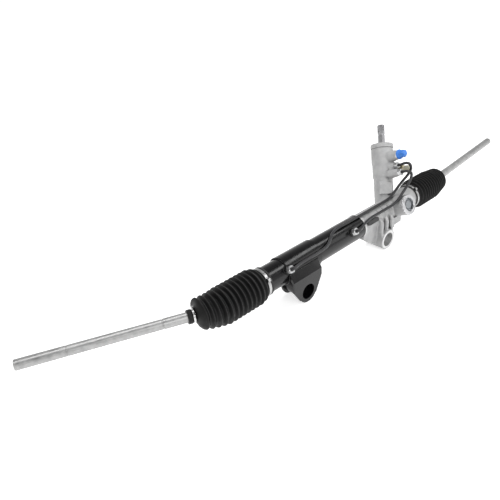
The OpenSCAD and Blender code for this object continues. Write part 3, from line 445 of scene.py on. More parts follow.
sleeve_r, sleeve_ends = tube_r + 0.0028, (-0.298, -0.210)
bracket_start, bracket_length, bracket_edge = -0.299, 0.076, radians(11.5)
port_boss_r = 0.0083
beads = {}
for name, x in (("sleeve_left_weld", sleeve_ends[0] - 0.0003), ("sleeve_right_weld", sleeve_ends[1] + 0.0003)):
    beads[name] = [tube_point(x, 2 * pi * k / 90, tube_r + 0.0006) for k in range(91)]
beads["bracket_weld"] = [tube_point(bracket_start + bracket_length * k / 30, bracket_edge, sleeve_r + 0.0002)
                         for k in range(31)]
for side, (x, angle) in tube_ports.items():
    ring = []
    for k in range(49):
        turn = 2 * pi * k / 48
        foot_x = x + port_boss_r * cos(turn)
        skin_r = sleeve_r if foot_x > sleeve_ends[0] and side == "left" else tube_r
        ring.append(tube_point(foot_x, angle + port_boss_r * sin(turn) / skin_r, skin_r))
    beads[side + "_port_weld"] = ring
weld_tree = bead_tree()
for name, points in beads.items():
    bead = grown(name, path_curve(name, points), weld_tree,
                 {"Radius": 0.0015, "Spacing": 0.0012, "Material": gloss_black}, 60)
    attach(bead, "housing")

# A soft rubber pad keeps the short pipe off the casting.
# It is moulded, matt black and slightly dusty; its colour is painted paler on the crests as a highlight and darker in
# the hollows as shade.
black_rubber = finish("black_rubber", (0.012, 0.012, 0.012), 0.0, 0.55, specular=0.28)
rubber_bloom = pattern(black_rubber, 90, 5)
# Pointiness paints a highlight on the sharp crests and shade in the hollows between them.
rubber_crest = black_rubber.node_tree.nodes.new("ShaderNodeNewGeometry").outputs["Pointiness"]
rubber_crest_lit_colour = spread(black_rubber, rubber_crest, (0.0015, 0.0015, 0.0015), (0.075, 0.075, 0.075), 0.53, 0.6)
plug(black_rubber, rubber_crest_lit_colour, "Base Color")
sheen(black_rubber, rubber_bloom, 0.45, 0.68)
relief(black_rubber, [(pattern(black_rubber, 1200, 3), 0.0003, 0.35)])
dress("pipe_pad", black_rubber)

# The flare nuts are hexagons with both ends chamfered, plated bright zinc.
# The plating is even, with small dull clouds where fingers and tools touched it.
zinc = finish("zinc_steel", (0.6, 0.61, 0.62), 1.0, 0.3)
zinc_clouds = pattern(zinc, 300, 4)
plug(zinc, spread(zinc, zinc_clouds, (0.48, 0.49, 0.51), (0.62, 0.62, 0.61)), "Base Color")
sheen(zinc, zinc_clouds, 0.24, 0.4)


def wrapped(count, sides, looped):
    """Quads between neighbouring rings of points; a looped set also joins its last ring to its first."""
    faces = []
    for i in range(count if looped else count - 1):
        j = (i + 1) % count
        for k in range(sides):
            m = (k + 1) % sides
            faces.append((i * sides + k, i * sides + m, j * sides + m, j * sides + k))
    return faces


def closed_mesh(name, points, faces, merge=0.0):
    """A mesh with its normals outward; points closer together than merge become one."""
    mesh = bpy.data.meshes.new(name)
    mesh.from_pydata(points, [], faces)
    shape = bmesh.new()
    shape.from_mesh(mesh)
    if merge:
        bmesh.ops.remove_doubles(shape, verts=shape.verts, dist=merge)
    bmesh.ops.recalc_face_normals(shape, faces=shape.faces)
    shape.to_mesh(mesh)
    shape.free()
    return mesh


def round_shape(name, rows, sides, place=Matrix.Identity(4), hollow=False):
    """A shape built of rings (height, radius), where a radius may be a function of the angle.
    A hollow shape's rows run up its outside and down its inside."""
    points = []
    for height, radius in rows:
        for k in range(sides):
            angle = 2 * pi * k / sides
            out = radius(angle) if callable(radius) else radius
            points.append(place @ Vector((out * cos(angle), out * sin(angle), height)))
    faces = wrapped(len(rows), sides, hollow)
    if not hollow:
        faces.append(tuple(range(sides - 1, -1, -1)))
        faces.append(tuple((len(rows) - 1) * sides + k for k in range(sides)))
    return closed_mesh(name, points, faces, 1e-6)


def joined(name, meshes):
    """Several meshes made one."""
    whole = bmesh.new()
    for part in meshes:
        whole.from_mesh(part)
        bpy.data.meshes.remove(part)
    mesh = bpy.data.meshes.new(name)
    whole.to_mesh(mesh)
    whole.free()
    return mesh


def six_sided(across):
    """A hexagon's radius at each angle."""
    return lambda angle: across / 2 / cos((angle % (pi / 3)) - pi / 6)


def hex_rows(across, height, chamfer):
    """Rings of a hexagon with both ends chamfered; a turned cone takes the corners off."""
    corner = across / 2 / cos(pi / 6)
    steps = 5

    def ring(limit):
        return lambda angle: min(six_sided(across)(angle), limit)

    drop = (corner - across / 2 + chamfer) * 0.5
    low = [(drop * i / steps, ring(across / 2 - chamfer + drop * 2 * i / steps)) for i in range(steps + 1)]
    return low + [(height - z, radius) for z, radius in reversed(low)]


def port_place(port, out=0.0):
    """A frame on a tower port's face, with +Z out of the port."""
    height, face, side = port
    return pinion_frame @ Matrix.Translation((side, -face - out, height)) @ Matrix.Rotation(radians(90), 4, "X")


def tube_place(x, angle, out):
    return (Matrix.Translation(rack_axis + Vector((x, 0, 0))) @ Matrix.Rotation(radians(90) - angle, 4, "X")
            @ Matrix.Translation((0, 0, out)))


def stand_in(made, node, body):
    """A new piece takes a CAD node's place and the body that it moves with."""
    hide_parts(node)
    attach(made, body)


nut_across = 0.013


def flare_nut(name, place):
    bore = pipe_r + 0.0002
    rows = hex_rows(nut_across, nut_height, 0.0004)
    rows += [(nut_height, bore + 0.0008), (nut_height - 0.0008, bore), (0.0, bore)]
    return round_shape(name, rows, 72, place, hollow=True)


nut_places = {"tube_pipe_nuts": [tube_place(*tube_ports["left"], tube_r + nut_base),
                                 tube_place(*tube_ports["right"], tube_r + nut_base)],
              "valve_pipe_nuts": [port_place(upper_port), port_place(lower_port)]}
for node, places in nut_places.items():
    pair = joined(node, [flare_nut(f"{node}_{i}", place) for i, place in enumerate(places)])
    stand_in(piece(node + "_flared", pair, zinc, 25), node, "housing")

# The bellows are held on the tube and the housing by crimped bands with one pinched ear.
# The strip is stainless, under 6 mm wide, with rolled edges.
stainless = finish("stainless_band", (0.46, 0.46, 0.46), 1.0, 0.3)
sheen(stainless, pattern(stainless, 120, 3, stretch=(1, 12, 12)), 0.22, 0.42)
band_width, band_wall, band_r = 0.0058, 0.0008, tube_r + 0.00205
cuff_starts = {"left": -0.339, "right": 0.124}
cuff_grooves = {"left": 0.0054, "right": 0.0024}


def band(name, radius, ear_angle, place):
    """A strip round a ring, bent up into one hollow ear whose foot is pinched in."""
    ear_half, ear_height, pinch = radians(7.5), 0.0042, 0.5
    path = []
    around, ear_steps = 120, 24
    for k in range(around):
        angle = ear_angle + ear_half + (2 * pi - 2 * ear_half) * k / (around - 1)
        path.append((radius * cos(angle), radius * sin(angle)))
    for k in range(1, ear_steps):
        t = k / ear_steps
        lift = ear_height * sin(pi * t) ** 0.45
        squeeze = 1 - pinch * sin(pi * t) ** 1.2
        turn = ear_half * (2 * t - 1) * squeeze * (1 + 0.55 * sin(pi * t) ** 2)
        angle = ear_angle + turn
        path.append(((radius + lift) * cos(angle), (radius + lift) * sin(angle)))
    count = len(path)
    edge = 0.0002
    section = [(0.0, edge), (edge, 0.0), (band_width - edge, 0.0), (band_width, edge),
               (band_width, band_wall - edge), (band_width - edge, band_wall), (edge, band_wall),
               (0.0, band_wall - edge)]
    points = []
    for i in range(count):
        (x0, y0), (x1, y1) = path[i - 1], path[(i + 1) % count]
        across = Vector((y1 - y0, x0 - x1, 0)).normalized()
        for height, out in section:
            points.append(place @ (Vector((path[i][0], path[i][1], height)) + across * out))
    return closed_mesh(name, points, wrapped(count, len(section), True))


def along_x(x):
    return Matrix.Translation(rack_axis + Vector((x, 0, 0))) @ Matrix.Rotation(radians(90), 4, "Y")


for side, x, ear in (("left", cuff_starts["left"] - cuff_grooves["left"] - 0.0061, 233),
                     ("right", cuff_starts["right"] + cuff_grooves["right"] + 0.0003, 215)):
    strip = band(side + "_band", band_r, radians(ear), along_x(x))
    stand_in(piece(side + "_crimped_band", strip, stainless, 40), side + "_bellows_clamp", "housing")

# The small ends are held by bright spring wire, two turns with the ends bent out for pliers.
# It is 2.4 mm spring steel, and it moves with the tie rod.
sweeps = {"left": (radians(19.4), radians(2.1)), "right": (radians(0.7), radians(4.6))}
balls = {"left": rack_axis + Vector((-0.453, 0, 0)), "right": rack_axis + Vector((0.2185, 0, 0))}


def rod_frame(side):
    """A frame at the ball centre with +Z out along the tie rod."""
    sweep_angle, rise = sweeps[side]
    heading = pi - sweep_angle if side == "left" else sweep_angle
    return (Matrix.Translation(balls[side]) @ Matrix.Rotation(heading, 4, "Z")
            @ Matrix.Rotation(pi / 2 - rise, 4, "Y"))


spring_steel = finish("spring_wire", (0.72, 0.72, 0.72), 1.0, 0.2)
sheen(spring_steel, pattern(spring_steel, 400, 3), 0.14, 0.3)
clip_r, clip_wire, clip_pitch, clip_tail, clip_steps = 0.0121, 0.0012, 0.0031, 0.0045, 96
fold_reach = {"left": 0.030, "right": 0.036}
for side in ("left", "right"):
    place = rod_frame(side)
    clip_at = fold_reach[side] + 0.0085 - clip_pitch
    turns = []
    for k in range(clip_steps + 1):
        angle = radians(200) + 4 * pi * k / clip_steps
        out = clip_r + (clip_tail if k in (0, clip_steps) else 0.0)
        turns.append(place @ Vector((out * cos(angle), out * sin(angle), clip_at + clip_pitch * k / clip_steps)))
    clip = grown(side + "_wire_clip", path_curve(side + "_clip", turns), sweep_tree,
                 {"Radius": clip_wire, "Sides": 12, "Material": spring_steel})
    stand_in(clip, side + "_rod_clamp", side + "_rod")

# The return fitting is yellow passivated steel: a hexagon and a neck for the hose.
# A thin pale plug with a rolled rim covers it for transport.
yellow_zinc = finish("yellow_zinc", (0.42, 0.36, 0.2), 1.0, 0.35)
yellow_clouds = pattern(yellow_zinc, 350, 4)
plug(yellow_zinc, spread(yellow_zinc, yellow_clouds, (0.36, 0.31, 0.18), (0.5, 0.44, 0.28)), "Base Color")
return_port, supply_port, supply_rim = (0.0829, 0.035, 0.016), (0.114, 0.044, 0.0), 0.0016
fitting_rows = hex_rows(0.016, 0.013, 0.0005)
fitting_rows += [(0.0131, 0.0064), (0.0165, 0.0064), (0.0172, 0.0068), (0.0182, 0.0060), (0.0215, 0.0058),
                 (0.022, 0.0054), (0.022, 0.0028), (-0.008, 0.0025), (-0.008, 0.0040), (0.0, 0.0040)]
fitting_mesh = round_shape("return_union", fitting_rows, 72, port_place(return_port), True)
stand_in(piece("return_union", fitting_mesh, yellow_zinc, 25), "return_fitting", "housing")


def soft_plastic(name, colour, rough, depths):
    material = finish(name, colour, 0.0, rough)
    shader = material.node_tree.nodes["Principled BSDF"]
    shader.inputs["Subsurface Weight"].default_value = 0.25
    shader.inputs["Subsurface Radius"].default_value = depths
    relief(material, [(pattern(material, 500, 2), 0.0002, 0.2)])
    return material


pale_plastic = soft_plastic("pale_plastic", (0.72, 0.68, 0.52), 0.35, (0.004, 0.003, 0.002))
cap_foot, cap_top, cap_r = 0.0132, 0.0262, 0.0074


def ribbed(radius, count, depth):
    return lambda angle: radius - depth * (0.5 - 0.5 * cos(count * angle)) ** 3


pale_rows = [(cap_foot, 0.0068), (cap_foot, cap_r), (cap_foot + 0.0012, cap_r), (cap_foot + 0.0016, cap_r - 0.0005),
             (cap_foot + 0.0022, ribbed(cap_r - 0.0005, 24, 0.0003)),
             (cap_top - 0.0018, ribbed(cap_r - 0.0008, 24, 0.0003)), (cap_top - 0.0006, cap_r - 0.0012),
             (cap_top, cap_r - 0.002), (cap_top, 0.0002), (cap_top - 0.001, 0.0002), (cap_top - 0.0016, 0.0060),
             (cap_foot, 0.0061)]
pale_mesh = round_shape("pale_return_plug", pale_rows, 96, port_place(return_port), True)
stand_in(piece("pale_return_plug", pale_mesh, pale_plastic, 40), "return_cap", "housing")

# The blue plug is pushed into the supply port: a flat flange, a neck and a six-sided grip with a blunt nose.
blue_plastic = soft_plastic("blue_plastic", (0.06, 0.26, 0.8), 0.3, (0.001, 0.002, 0.004))


def lobed(radius, depth):
    return lambda angle: radius - depth * (0.5 - 0.5 * cos(6 * angle)) ** 0.7


blue_rows = [(-0.008, 0.0060), (-0.0074, 0.0064), (-0.0001, 0.0064), (0.0, 0.0104), (0.0005, 0.0109),
             (0.0034, 0.0109), (0.0039, 0.0105), (0.0041, 0.0094), (0.0046, lobed(0.0091, 0.0004)),
             (0.0056, lobed(0.0091, 0.0010)),
             (0.0125, lobed(0.0090, 0.0014)), (0.0142, lobed(0.0088, 0.0014)), (0.0158, lobed(0.0083, 0.0012)),
             (0.0170, lobed(0.0075, 0.0009)), (0.0177, lobed(0.0064, 0.0006)), (0.018, 0.0050)]
blue_mesh = round_shape("blue_supply_plug", blue_rows, 96, port_place(supply_port, supply_rim))
stand_in(piece("blue_supply_plug", blue_mesh, blue_plastic, 40), "supply_cap", "housing")

# The yoke plug, its lock ring and the bulkheads are turned aluminium and steel.
# The tool has left fine rings round each turned axis.
turned = finish("machined_aluminium", (0.58, 0.58, 0.59), 1.0, 0.36)
sheen(turned, pattern(turned, 500, 3), 0.28, 0.46)
relief(turned, [(pattern(turned, 1800, 2), 0.0002, 0.25)])
for node in ("rack_yoke", "outer_bulkhead", "inner_bulkhead", "pinion_end_cap"):
    dress(node, turned)


def scalloped(radius, count, depth):
    return lambda angle: radius + depth * cos(count * angle)


lock_rows = [(0.0470, 0.0181), (0.0470, scalloped(0.0227, 20, 0.0009)), (0.0496, scalloped(0.0227, 20, 0.0009)),
             (0.0500, scalloped(0.0222, 20, 0.0006)), (0.0504, 0.0216), (0.0515, 0.0214), (0.0521, 0.0207),
             (0.0521, 0.0192), (0.0516, 0.0188), (0.0516, 0.0172), (0.0521, 0.0168), (0.0521, 0.0157),
             (0.0514, 0.0149), (0.0491, 0.0149), (0.0491, 0.0181)]
lock_mesh = round_shape("scalloped_lock_ring", lock_rows, 240, yoke_frame, True)
stand_in(piece("scalloped_lock_ring", lock_mesh, turned, 30), "yoke_lock_ring", "housing")
plug_steel = finish("blued_plug", (0.3, 0.315, 0.33), 1.0, 0.36)
sheen(plug_steel, pattern(plug_steel, 320, 4), 0.28, 0.46)
plug_rows = [(0.036, 0.0003), (0.036, 0.010), (0.034, 0.010), (0.034, 0.0176), (0.0344, 0.0180), (0.0489, 0.0180),
             (0.0489, 0.0148), (0.0484, 0.0144), (0.0461, 0.0141), (0.0456, 0.0136), (0.0456, six_sided(0.0175)),
             (0.0484, six_sided(0.0175)), (0.0490, six_sided(0.0165)), (0.0490, 0.0003)]
plug_mesh = round_shape("recessed_yoke_plug", plug_rows, 120, yoke_frame)
stand_in(piece("recessed_yoke_plug", plug_mesh, plug_steel, 30), "yoke_plug", "housing")

# Rack, piston, pinion, valve and input shaft are ground steel.
# Grinding leaves fine lines across the axis.
ground = finish("machined_steel", (0.36, 0.36, 0.37), 1.0, 0.34)
ground_lines = pattern(ground, 60, 3, stretch=(30, 1, 1))
sheen(ground, ground_lines, 0.24, 0.42)
for node in ("rack_bar", "rack_piston", "pinion_shaft", "valve_sleeve", "torsion_bar",
             "lower_bearing_outer_race", "lower_bearing_inner_race", "needle_bearing",
             "upper_shaft_bearing", "pinion_lock_nut"):
    dress(node, ground)

# The input shaft: 36 rolled serrations over a pinch-bolt groove, a ground neck and the valve core below.
# Its top is drilled, and from below it is bored for the torsion bar.
serration_count, shaft_r, shaft_top, serration_length = 36, 0.008, 0.191, 0.021
groove_bottom = shaft_top - serration_length - 0.003


def serrated(depth):
    return lambda angle: shaft_r - depth * (0.5 - 0.5 * cos(serration_count * angle)) ** 0.8


neck_r, bore, torsion_bore = shaft_r - 0.00008, 0.0040, 0.0041
shaft_rows = [(shaft_top - 0.0082, 0.0003), (shaft_top - 0.0082, torsion_bore), (0.054, torsion_bore),
              (0.054, 0.0085), (0.065, 0.0085), (0.065, 0.0095), (0.118, 0.0095), (0.118, 0.010), (0.1287, 0.010),
              (0.1287, neck_r), (groove_bottom - 0.0006, neck_r), (groove_bottom, shaft_r - 0.0008),
              (groove_bottom + 0.0026, shaft_r - 0.0008), (groove_bottom + 0.003, shaft_r - 0.0006),
              (groove_bottom + 0.0034, serrated(0.0006)), (shaft_top - 0.0016, serrated(0.0006)),
              (shaft_top - 0.0008, lambda angle: min(serrated(0.0006)(angle), shaft_r - 0.0005)),
              (shaft_top, shaft_r - 0.0011), (shaft_top, bore + 0.0006), (shaft_top - 0.0006, bore),
              (shaft_top - 0.006, bore), (shaft_top - 0.0062, 0.0003)]
shaft_mesh = round_shape("serrated_input_shaft", shaft_rows, 8 * serration_count, pinion_frame)
stand_in(piece("serrated_input_shaft", shaft_mesh, ground, 30), "input_shaft", "input")
dark_steel = finish("dark_steel", (0.2, 0.2, 0.21), 1.0, 0.4)
sheen(dark_steel, pattern(dark_steel, 260, 4), 0.32, 0.5)
for node in ("yoke_spring", "left_ball_socket", "right_ball_socket"):
    dress(node, dark_steel)

# Seals and rings are black rubber and filled plastic; seats, bush and liner are bearing plastics.
# Only the dust cover round the input shaft is seen from outside.
seal_rubber = finish("seal_rubber", (0.02, 0.02, 0.02), 0.0, 0.5)
relief(seal_rubber, [(pattern(seal_rubber, 1300, 3), 0.0003, 0.3)])
for node in ("rack_seals", "pinion_oil_seal", "input_shaft_seal", "dust_cover", "piston_ring", "valve_rings"):
    dress(node, seal_rubber)
bearing_plastic = finish("liner_plastic", (0.55, 0.47, 0.3), 0.0, 0.45)
relief(bearing_plastic, [(pattern(bearing_plastic, 700, 3), 0.0002, 0.3)])
for node in ("yoke_liner", "rack_end_bush", "left_ball_seat", "right_ball_seat"):
    dress(node, bearing_plastic)


# The casting's own skin: the same body with the mould's soft corners, wide feet under the ports,
# deeper pockets between the ribs, a groove under the tower's rim and a raised plain pad.
def solid_copy(name, node):
    """A CAD node's triangles merged into one closed mesh."""
    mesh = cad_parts[node].data.copy()
    mesh.name = name
    mesh.materials.clear()
    shape = bmesh.new()
    shape.from_mesh(mesh)
    bmesh.ops.remove_doubles(shape, verts=shape.verts, dist=1e-6)
    shape.to_mesh(mesh)
    shape.free()
    return mesh


def ring_rows(outer, inner, low, high, chamfer):
    """A flat ring with both edges of its upper face chamfered."""
    return [(low, outer), (high - chamfer, outer), (high, outer - chamfer), (high, inner + chamfer),
            (high - chamfer, inner), (low, inner)]


def prism(name, outline, low, high, place):
    """A convex outline in x and y drawn out along z, with chamfers at its far end."""
    chamfer = 0.0006
    middle = Vector((sum(p[0] for p in outline), sum(p[1] for p in outline))) / len(outline)
    rings = []
    for height, inset in ((low, 0.0), (high - chamfer, 0.0), (high, chamfer)):
        for point in outline:
            inward = middle - Vector(point)
            flat = Vector(point) + inward.normalized() * min(inset * 1.4, inward.length)
            rings.append(place @ Vector((flat.x, flat.y, height)))
    count = len(outline)
    ends = [tuple(range(count)), tuple(range(2 * count, 3 * count))]
    return closed_mesh(name, rings, ends + wrapped(3, count, False))


def baked(name, mesh, steps):
    """A mesh after a list of modifiers, each (kind, settings)."""
    carrier = placed(name, mesh)
    for kind, settings in steps:
        modifier = carrier.modifiers.new(kind, kind)
        for setting, value in settings.items():
            setattr(modifier, setting, value)
    return evaluated(name, carrier)


sideways = Matrix.Translation(rack_axis) @ Matrix(((0, 0, 1, 0), (1, 0, 0, 0), (0, 1, 0, 0), (0, 0, 0, 1)))
groove_z, rim_z = 0.1347, 0.1363
cutters = [round_shape("rim_cutter", ring_rows(0.040, 0.0234, groove_z, 0.160, 0.0), 96, pinion_frame, True)]
rib_pitch, rib_half, pocket_half = 0.018, 0.0044, 0.0045
for low, high in ((-rib_pitch + pocket_half, -pocket_half), (pocket_half, rib_pitch - pocket_half)):
    cutters.append(prism("pocket_cutter", [(-0.045, -0.023), (-0.012, -0.023), (-0.012, -0.004), (-0.045, -0.004)],
                         low, high, sideways))
knife = placed("knife", joined("knife", cutters))
cut_body = baked("cut_body", solid_copy("casting", "pinion_housing"),
                 [("BOOLEAN", {"operation": "DIFFERENCE", "object": knife, "solver": "EXACT"})])
bpy.data.objects.remove(knife)
feet = [cut_body]
for port, top_r, foot_r, foot_out in ((supply_port, 0.0106, 0.0150, 0.019), (upper_port, 0.0086, 0.0112, 0.020),
                                      (lower_port, 0.0086, 0.0108, 0.026), (return_port, 0.0091, 0.0108, 0.020)):
    reach = port[1] - 0.003
    feet.append(round_shape("foot", [(foot_out - reach, foot_r), (0.0, top_r), (0.0, top_r - 0.0012),
                                     (foot_out - reach, top_r - 0.0012)], 64,
                            port_place((port[0], reach, port[2])), True))
rib_outline = [(-0.010, 0.0), (-0.0226, 0.0088), (-0.0285, 0.0060), (-0.0312, 0.0020), (-0.0318, -0.024),
               (-0.010, -0.024)]
for middle in (-rib_pitch, 0.0, rib_pitch):
    feet.append(prism("rib", rib_outline, middle - rib_half, middle + rib_half, sideways))
block_outline = [(-0.029, -0.027), (-0.008, -0.027), (-0.008, -0.009), (-0.029, -0.009)]
feet.append(prism("block", block_outline, 0.024, 0.0595, sideways))
casting = piece("cast_housing", baked("cast_housing", joined("cast_union", feet), [
    ("REMESH", {"mode": "VOXEL", "voxel_size": 0.001}),
    ("SMOOTH", {"factor": 0.5, "iterations": 5}),
    ("DECIMATE", {"ratio": 0.4})]), cast_aluminium, 80)
rim_rows = [(rim_z - 0.0003, 0.0192), (rim_z - 0.0003, 0.0248), (rim_z + 0.0003, 0.0254), (0.1446, 0.0254),
            (0.1460, 0.0240), (0.1460, 0.0196), (0.1456, 0.0192)]
rim = piece("tower_rim", round_shape("tower_rim", rim_rows, 144, pinion_frame, True), cast_aluminium, 30)
pad_outline = [(-0.0142, 0.0290), (0.0142, 0.0290), (0.0142, 0.0528), (-0.0142, 0.0528)]
pad_place = pinion_frame @ Matrix.Rotation(radians(-38), 4, "Z") @ Matrix.Rotation(radians(90), 4, "X")
pad = piece("plain_pad", prism("plain_pad", pad_outline, 0.012, 0.0242, pad_place), cast_aluminium, 20)
milled = finish("milled_face", (0.62, 0.62, 0.62), 0.8, 0.42)
relief(milled, [(pattern(milled, 1500, 2), 0.0002, 0.25)])
mount_length, flange_x = 0.052, -0.069
mount_front = Matrix.Rotation(radians(90), 4, "X")
mount_back = Matrix.Translation((0, mount_length, 0)) @ Matrix.Rotation(radians(-90), 4, "X")
mount_rows = ring_rows(0.0222, 0.0160, -0.0015, 0.0001, 0.0005)
bore_rows = [(0.0003 - mount_length, 0.0163), (-0.0003, 0.0163), (-0.0003, 0.01575), (0.0003 - mount_length, 0.01575)]
flange_rows = [(0.0002, 0.0250), (0.0002, 0.0262), (0.0006, 0.0266), (0.0034, 0.0266), (0.0040, 0.0262),
               (0.0040, 0.0250)]
supply_rows = ring_rows(0.0102, 0.0066, -0.001, 0.0015, 0.0004)
faces = [round_shape("face", rows, sides, place, True) for rows, sides, place in (
    (mount_rows, 120, mount_front), (mount_rows, 120, mount_back), (bore_rows, 96, mount_front),
    (flange_rows, 144, along_x(flange_x)), (supply_rows, 96, port_place(supply_port)))]
machined = piece("machined_faces", joined("machined_faces", faces), milled, 30)
marks, barrel_skin = [], 0.0241
for i, x in enumerate((-0.014, 0.004, 0.023)):
    arc = [tube_point(x, radians(angle), barrel_skin) for angle in range(33, 62, 2)]
    marks.append(grown(f"parting_line_{i}", path_curve("parting_line", arc), sweep_tree,
                       {"Radius": 0.0006, "Sides": 10, "Material": dark_steel}))
for made in [casting, rim, pad, machined] + marks:
    stand_in(made, "pinion_housing", "housing")

# The tie rods are forged and turned steel under a pale phosphate coat.
# The outer ends are tapped for the tie rod ends and carry two wrench flats.
forged = finish("forged_steel", (0.4, 0.4, 0.4), 0.7, 0.42)
forged_clouds = pattern(forged, 120, 5)
plug(forged, spread(forged, forged_clouds, (0.36, 0.36, 0.36), (0.5, 0.5, 0.495)), "Base Color")
sheen(forged, forged_clouds, 0.34, 0.5)
relief(forged, [(pattern(forged, 900, 3), 0.0003, 0.3)])
ball_r, throat, rod_inner_r, rod_r = 0.013, 0.0065, 0.0091, 0.0087
step_at, flats, mark_at, rod_end = 0.088, (0.196, 0.215), 0.238, 0.313
hole_depth, thread_pitch, thread_r, thread_root = 0.060, 0.0015, 0.0066, 0.0072


def flatted(angle):
    """Two flats 14.8 mm apart."""
    return min(rod_r, 0.0074 / max(1e-6, abs(sin(angle))))


rod_rows = [(-ball_r * cos(t * pi / 24), max(0.0002, ball_r * sin(t * pi / 24))) for t in range(0, 21)
            if t < 12 or ball_r * sin(t * pi / 24) > throat]
rod_rows += [((ball_r ** 2 - throat ** 2) ** 0.5, throat), (0.015, throat), (0.019, rod_inner_r),
             (step_at - 0.0004, rod_inner_r), (step_at, rod_inner_r - 0.0003), (step_at + 0.0004, rod_r - 0.0006),
             (step_at + 0.0016, rod_r - 0.0006), (step_at + 0.0022, rod_r), (flats[0] - 0.0002, rod_r),
             (flats[0], flatted), (flats[1], flatted), (flats[1] + 0.0002, rod_r), (mark_at - 0.0012, rod_r),
             (mark_at - 0.0008, rod_r - 0.0006), (mark_at + 0.0002, rod_r - 0.0006), (mark_at + 0.0006, rod_r),
             (rod_end - 0.001, rod_r), (rod_end, rod_r - 0.001), (rod_end, thread_root + 0.0001)]
for k in range(39):
    rod_rows += [(rod_end - 0.0008 - thread_pitch * k, thread_r),
                 (rod_end - 0.00155 - thread_pitch * k, thread_root)]
rod_rows += [(rod_end - hole_depth, thread_r), (rod_end - hole_depth, 0.0003)]
for side in ("left", "right"):
    rod_mesh = round_shape(side + "_turned_rod", rod_rows, 120, rod_frame(side))
    stand_in(piece(side + "_turned_rod", rod_mesh, forged, 25), side + "_tie_rod", side + "_rod")

# The bellows are blow-moulded rubber. Thirteen folds run from a cuff on the tube or housing past the ball joint,
# and a dome draws them in to a neck on the tie rod. Each is made in seven parts.
ridges, fold_depth, wall, cuff_width = 13, 0.0058, 0.0016, 0.013
ridge_top = 0.0351
bellows_sides = 96
bend_reach, fold_lean, neck_start = 0.020, 0.35, 0.004


def ridge_radius(i):
    """The crests stay level and then draw in towards the dome; the first one is lower too."""
    return ridge_top - max(0, i - ridges + 5) * 0.00145 - (0.0025 if i == 0 else 0)


def valley_radius(i):
    depth = fold_depth * 0.7 if i > ridges - 3 else fold_depth
    return max(ridge_radius(i) - depth, tube_r + wall + 0.0006 if i < 3 else 0)


def bellows_rows(fold_end, groove):
    """(distance, radius) along the bellows, and the distance of each valley."""
    pitch = (fold_end - cuff_width - 0.001) / ridges
    rows = [(0, tube_r + 0.0019), (0.0006, tube_r + 0.0026), (groove - 0.0008, tube_r + 0.0026),
            (groove - 0.0002, tube_r + 0.0019), (groove, tube_r + 0.0017), (groove + 0.0064, tube_r + 0.0017),
            (groove + 0.0067, tube_r + 0.002), (groove + 0.0071, tube_r + 0.0026), (cuff_width, tube_r + 0.0026)]
    valleys = []
    for i in range(ridges):
        start = cuff_width + 0.001 + i * pitch
        valleys.append(start)
        for k in range(16 if i < ridges - 1 else 9):
            wave = (0.5 - 0.5 * cos(2 * pi * k / 16)) ** 1.6
            low = valley_radius(i) if k < 8 or i == ridges - 1 else valley_radius(i + 1)
            rows.append((start + k / 16 * pitch, low + (ridge_radius(i) - low) * wave))
    dome = [(-3.6, 19.6), (-2.7, 19.1), (-1.6, 18.2), (-0.5, 16.9), (0.6, 15.1), (1.5, 12.9), (2.3, 10.3), (2.9, 7.6),
            (3.4, 4.8), (3.8, 3.0), (4.2, 2.1), (5.0, 1.8), (9.0, 1.8), (9.6, 2.2), (10.2, 3.0), (10.8, 3.3),
            (16.8, 3.3), (17.5, 3.1), (18.0, 2.5)]
    rows += [(fold_end + d / 1000, rod_inner_r + extra / 1000) for d, extra in dome]
    return rows, valleys


def bellows_place(d, start, axis, ball, rod):
    """The centre and heading at a distance along the bellows, which bend from the rack's axis to the rod's."""
    straight = (ball - start).length - bend_reach
    t = (d - straight) / (2 * bend_reach)
    a, b = ball - axis * bend_reach, ball + rod * bend_reach
    if t <= 0:
        return start + axis * d, axis
    if t >= 1:
        return b + rod * (d - straight - 2 * bend_reach), rod
    centre = (1 - t) ** 2 * a + 2 * t * (1 - t) * ball + t * t * b
    return centre, ((1 - t) * (ball - a) + t * (b - ball)).normalized()


def leaned(d, fold_end, axis, along):
    """The folds lean only a part of the way to the rod, and the neck takes the rest."""
    lean = fold_lean + (1 - fold_lean) * min(1, max(0, (d - fold_end) / neck_start))
    return ((1 - lean) * axis + lean * along).normalized()


def tube_mesh(name, rings, sides, thickness):
    """A closed tube wall through a list of (centre, direction, radius)."""
    points = []
    loop = rings + [(c, d, r - thickness) for c, d, r in reversed(rings)]
    for centre, direction, radius in loop:
        across = direction.cross(Vector((0.05, 0.02, 1))).normalized()
        up = direction.cross(across)
        for k in range(sides):
            points.append(centre + radius * (cos(2 * pi * k / sides) * across + sin(2 * pi * k / sides) * up))
    return closed_mesh(name, points, wrapped(len(loop), sides, True))


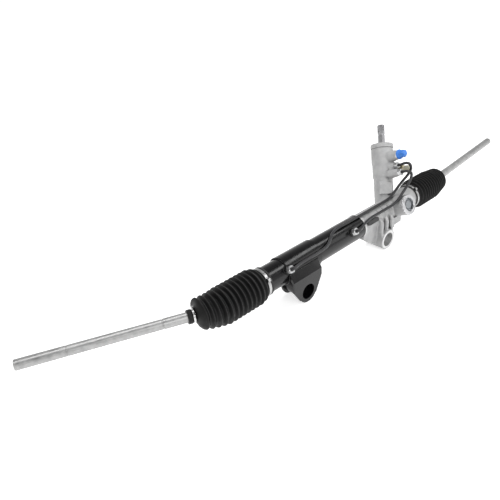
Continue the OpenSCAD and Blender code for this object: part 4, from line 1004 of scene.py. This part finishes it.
def weight_place(share):
    """Where along its stretch a smoothstep from 0 to 1 reaches this share."""
    low, high = 0.0, 1.0
    for _ in range(40):
        middle = (low + high) / 2
        low, high = (middle, high) if middle * middle * (3 - 2 * middle) < share else (low, middle)
    return low


# Each stretch of folds is given a share of the rack's travel at its two ends, and a span along the bellows is worked
# out from these shares.
fold_cuts = {"left": (1, 2, 7, 8, 9, 12), "right": (1, 2, 6, 7, 8, 12)}
fold_shares = {"left": (0.0, 0.124, 0.237, 0.827, 0.933, 1.0), "right": (0.0, 0.146, 0.274, 0.806, 0.925, 1.0)}
for side, sign in (("left", -1), ("right", 1)):
    sweep_angle, rise = sweeps[side]
    axis = Vector((sign, 0, 0))
    start, ball = rack_axis + Vector((cuff_starts[side], 0, 0)), balls[side]
    rod = Vector((sign * cos(sweep_angle) * cos(rise), sin(sweep_angle) * cos(rise), sin(rise)))
    fold_end = (ball - start).length + fold_reach[side]
    rows, valleys = bellows_rows(fold_end, cuff_grooves[side])
    grip = cuff_width - 0.0006
    cuts = [grip] + [valleys[i] for i in fold_cuts[side]]
    neck_foot = fold_end + neck_start
    zones = []
    for i, part in enumerate(("cuff", "first_folds", "middle_folds", "late_folds", "ball_folds")):
        low, high = (weight_place(share) for share in fold_shares[side][i:i + 2])
        span = (cuts[i + 1] - cuts[i]) / (high - low)
        zones.append((part, cuts[i] if i else 0.0, cuts[i + 1], cuts[i] - low * span, cuts[i] + (1 - low) * span,
                      "housing", "rack"))
    zones += [("end_folds", cuts[5], cuts[6], cuts[5], cuts[6], "rack", side + "_seat"),
              ("neck", cuts[6], 9.0, cuts[6], neck_foot, side + "_seat", side + "_rod")]
    for part, first, last, blend_start, blend_end, body_a, body_b in zones:
        rings = []
        for d, radius in rows:
            if first - 1e-6 <= d <= last + 1e-6:
                centre, along = bellows_place(d, start, axis, ball, rod)
                rings.append((centre, leaned(d, fold_end, axis, along), radius))
        skin_mesh = tube_mesh(f"{side}_{part}", rings, bellows_sides, wall)
        skin = piece(f"{side}_bellows_{part}", skin_mesh, black_rubber, 60)
        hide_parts(side + "_bellows")
        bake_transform(skin)

low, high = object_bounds()
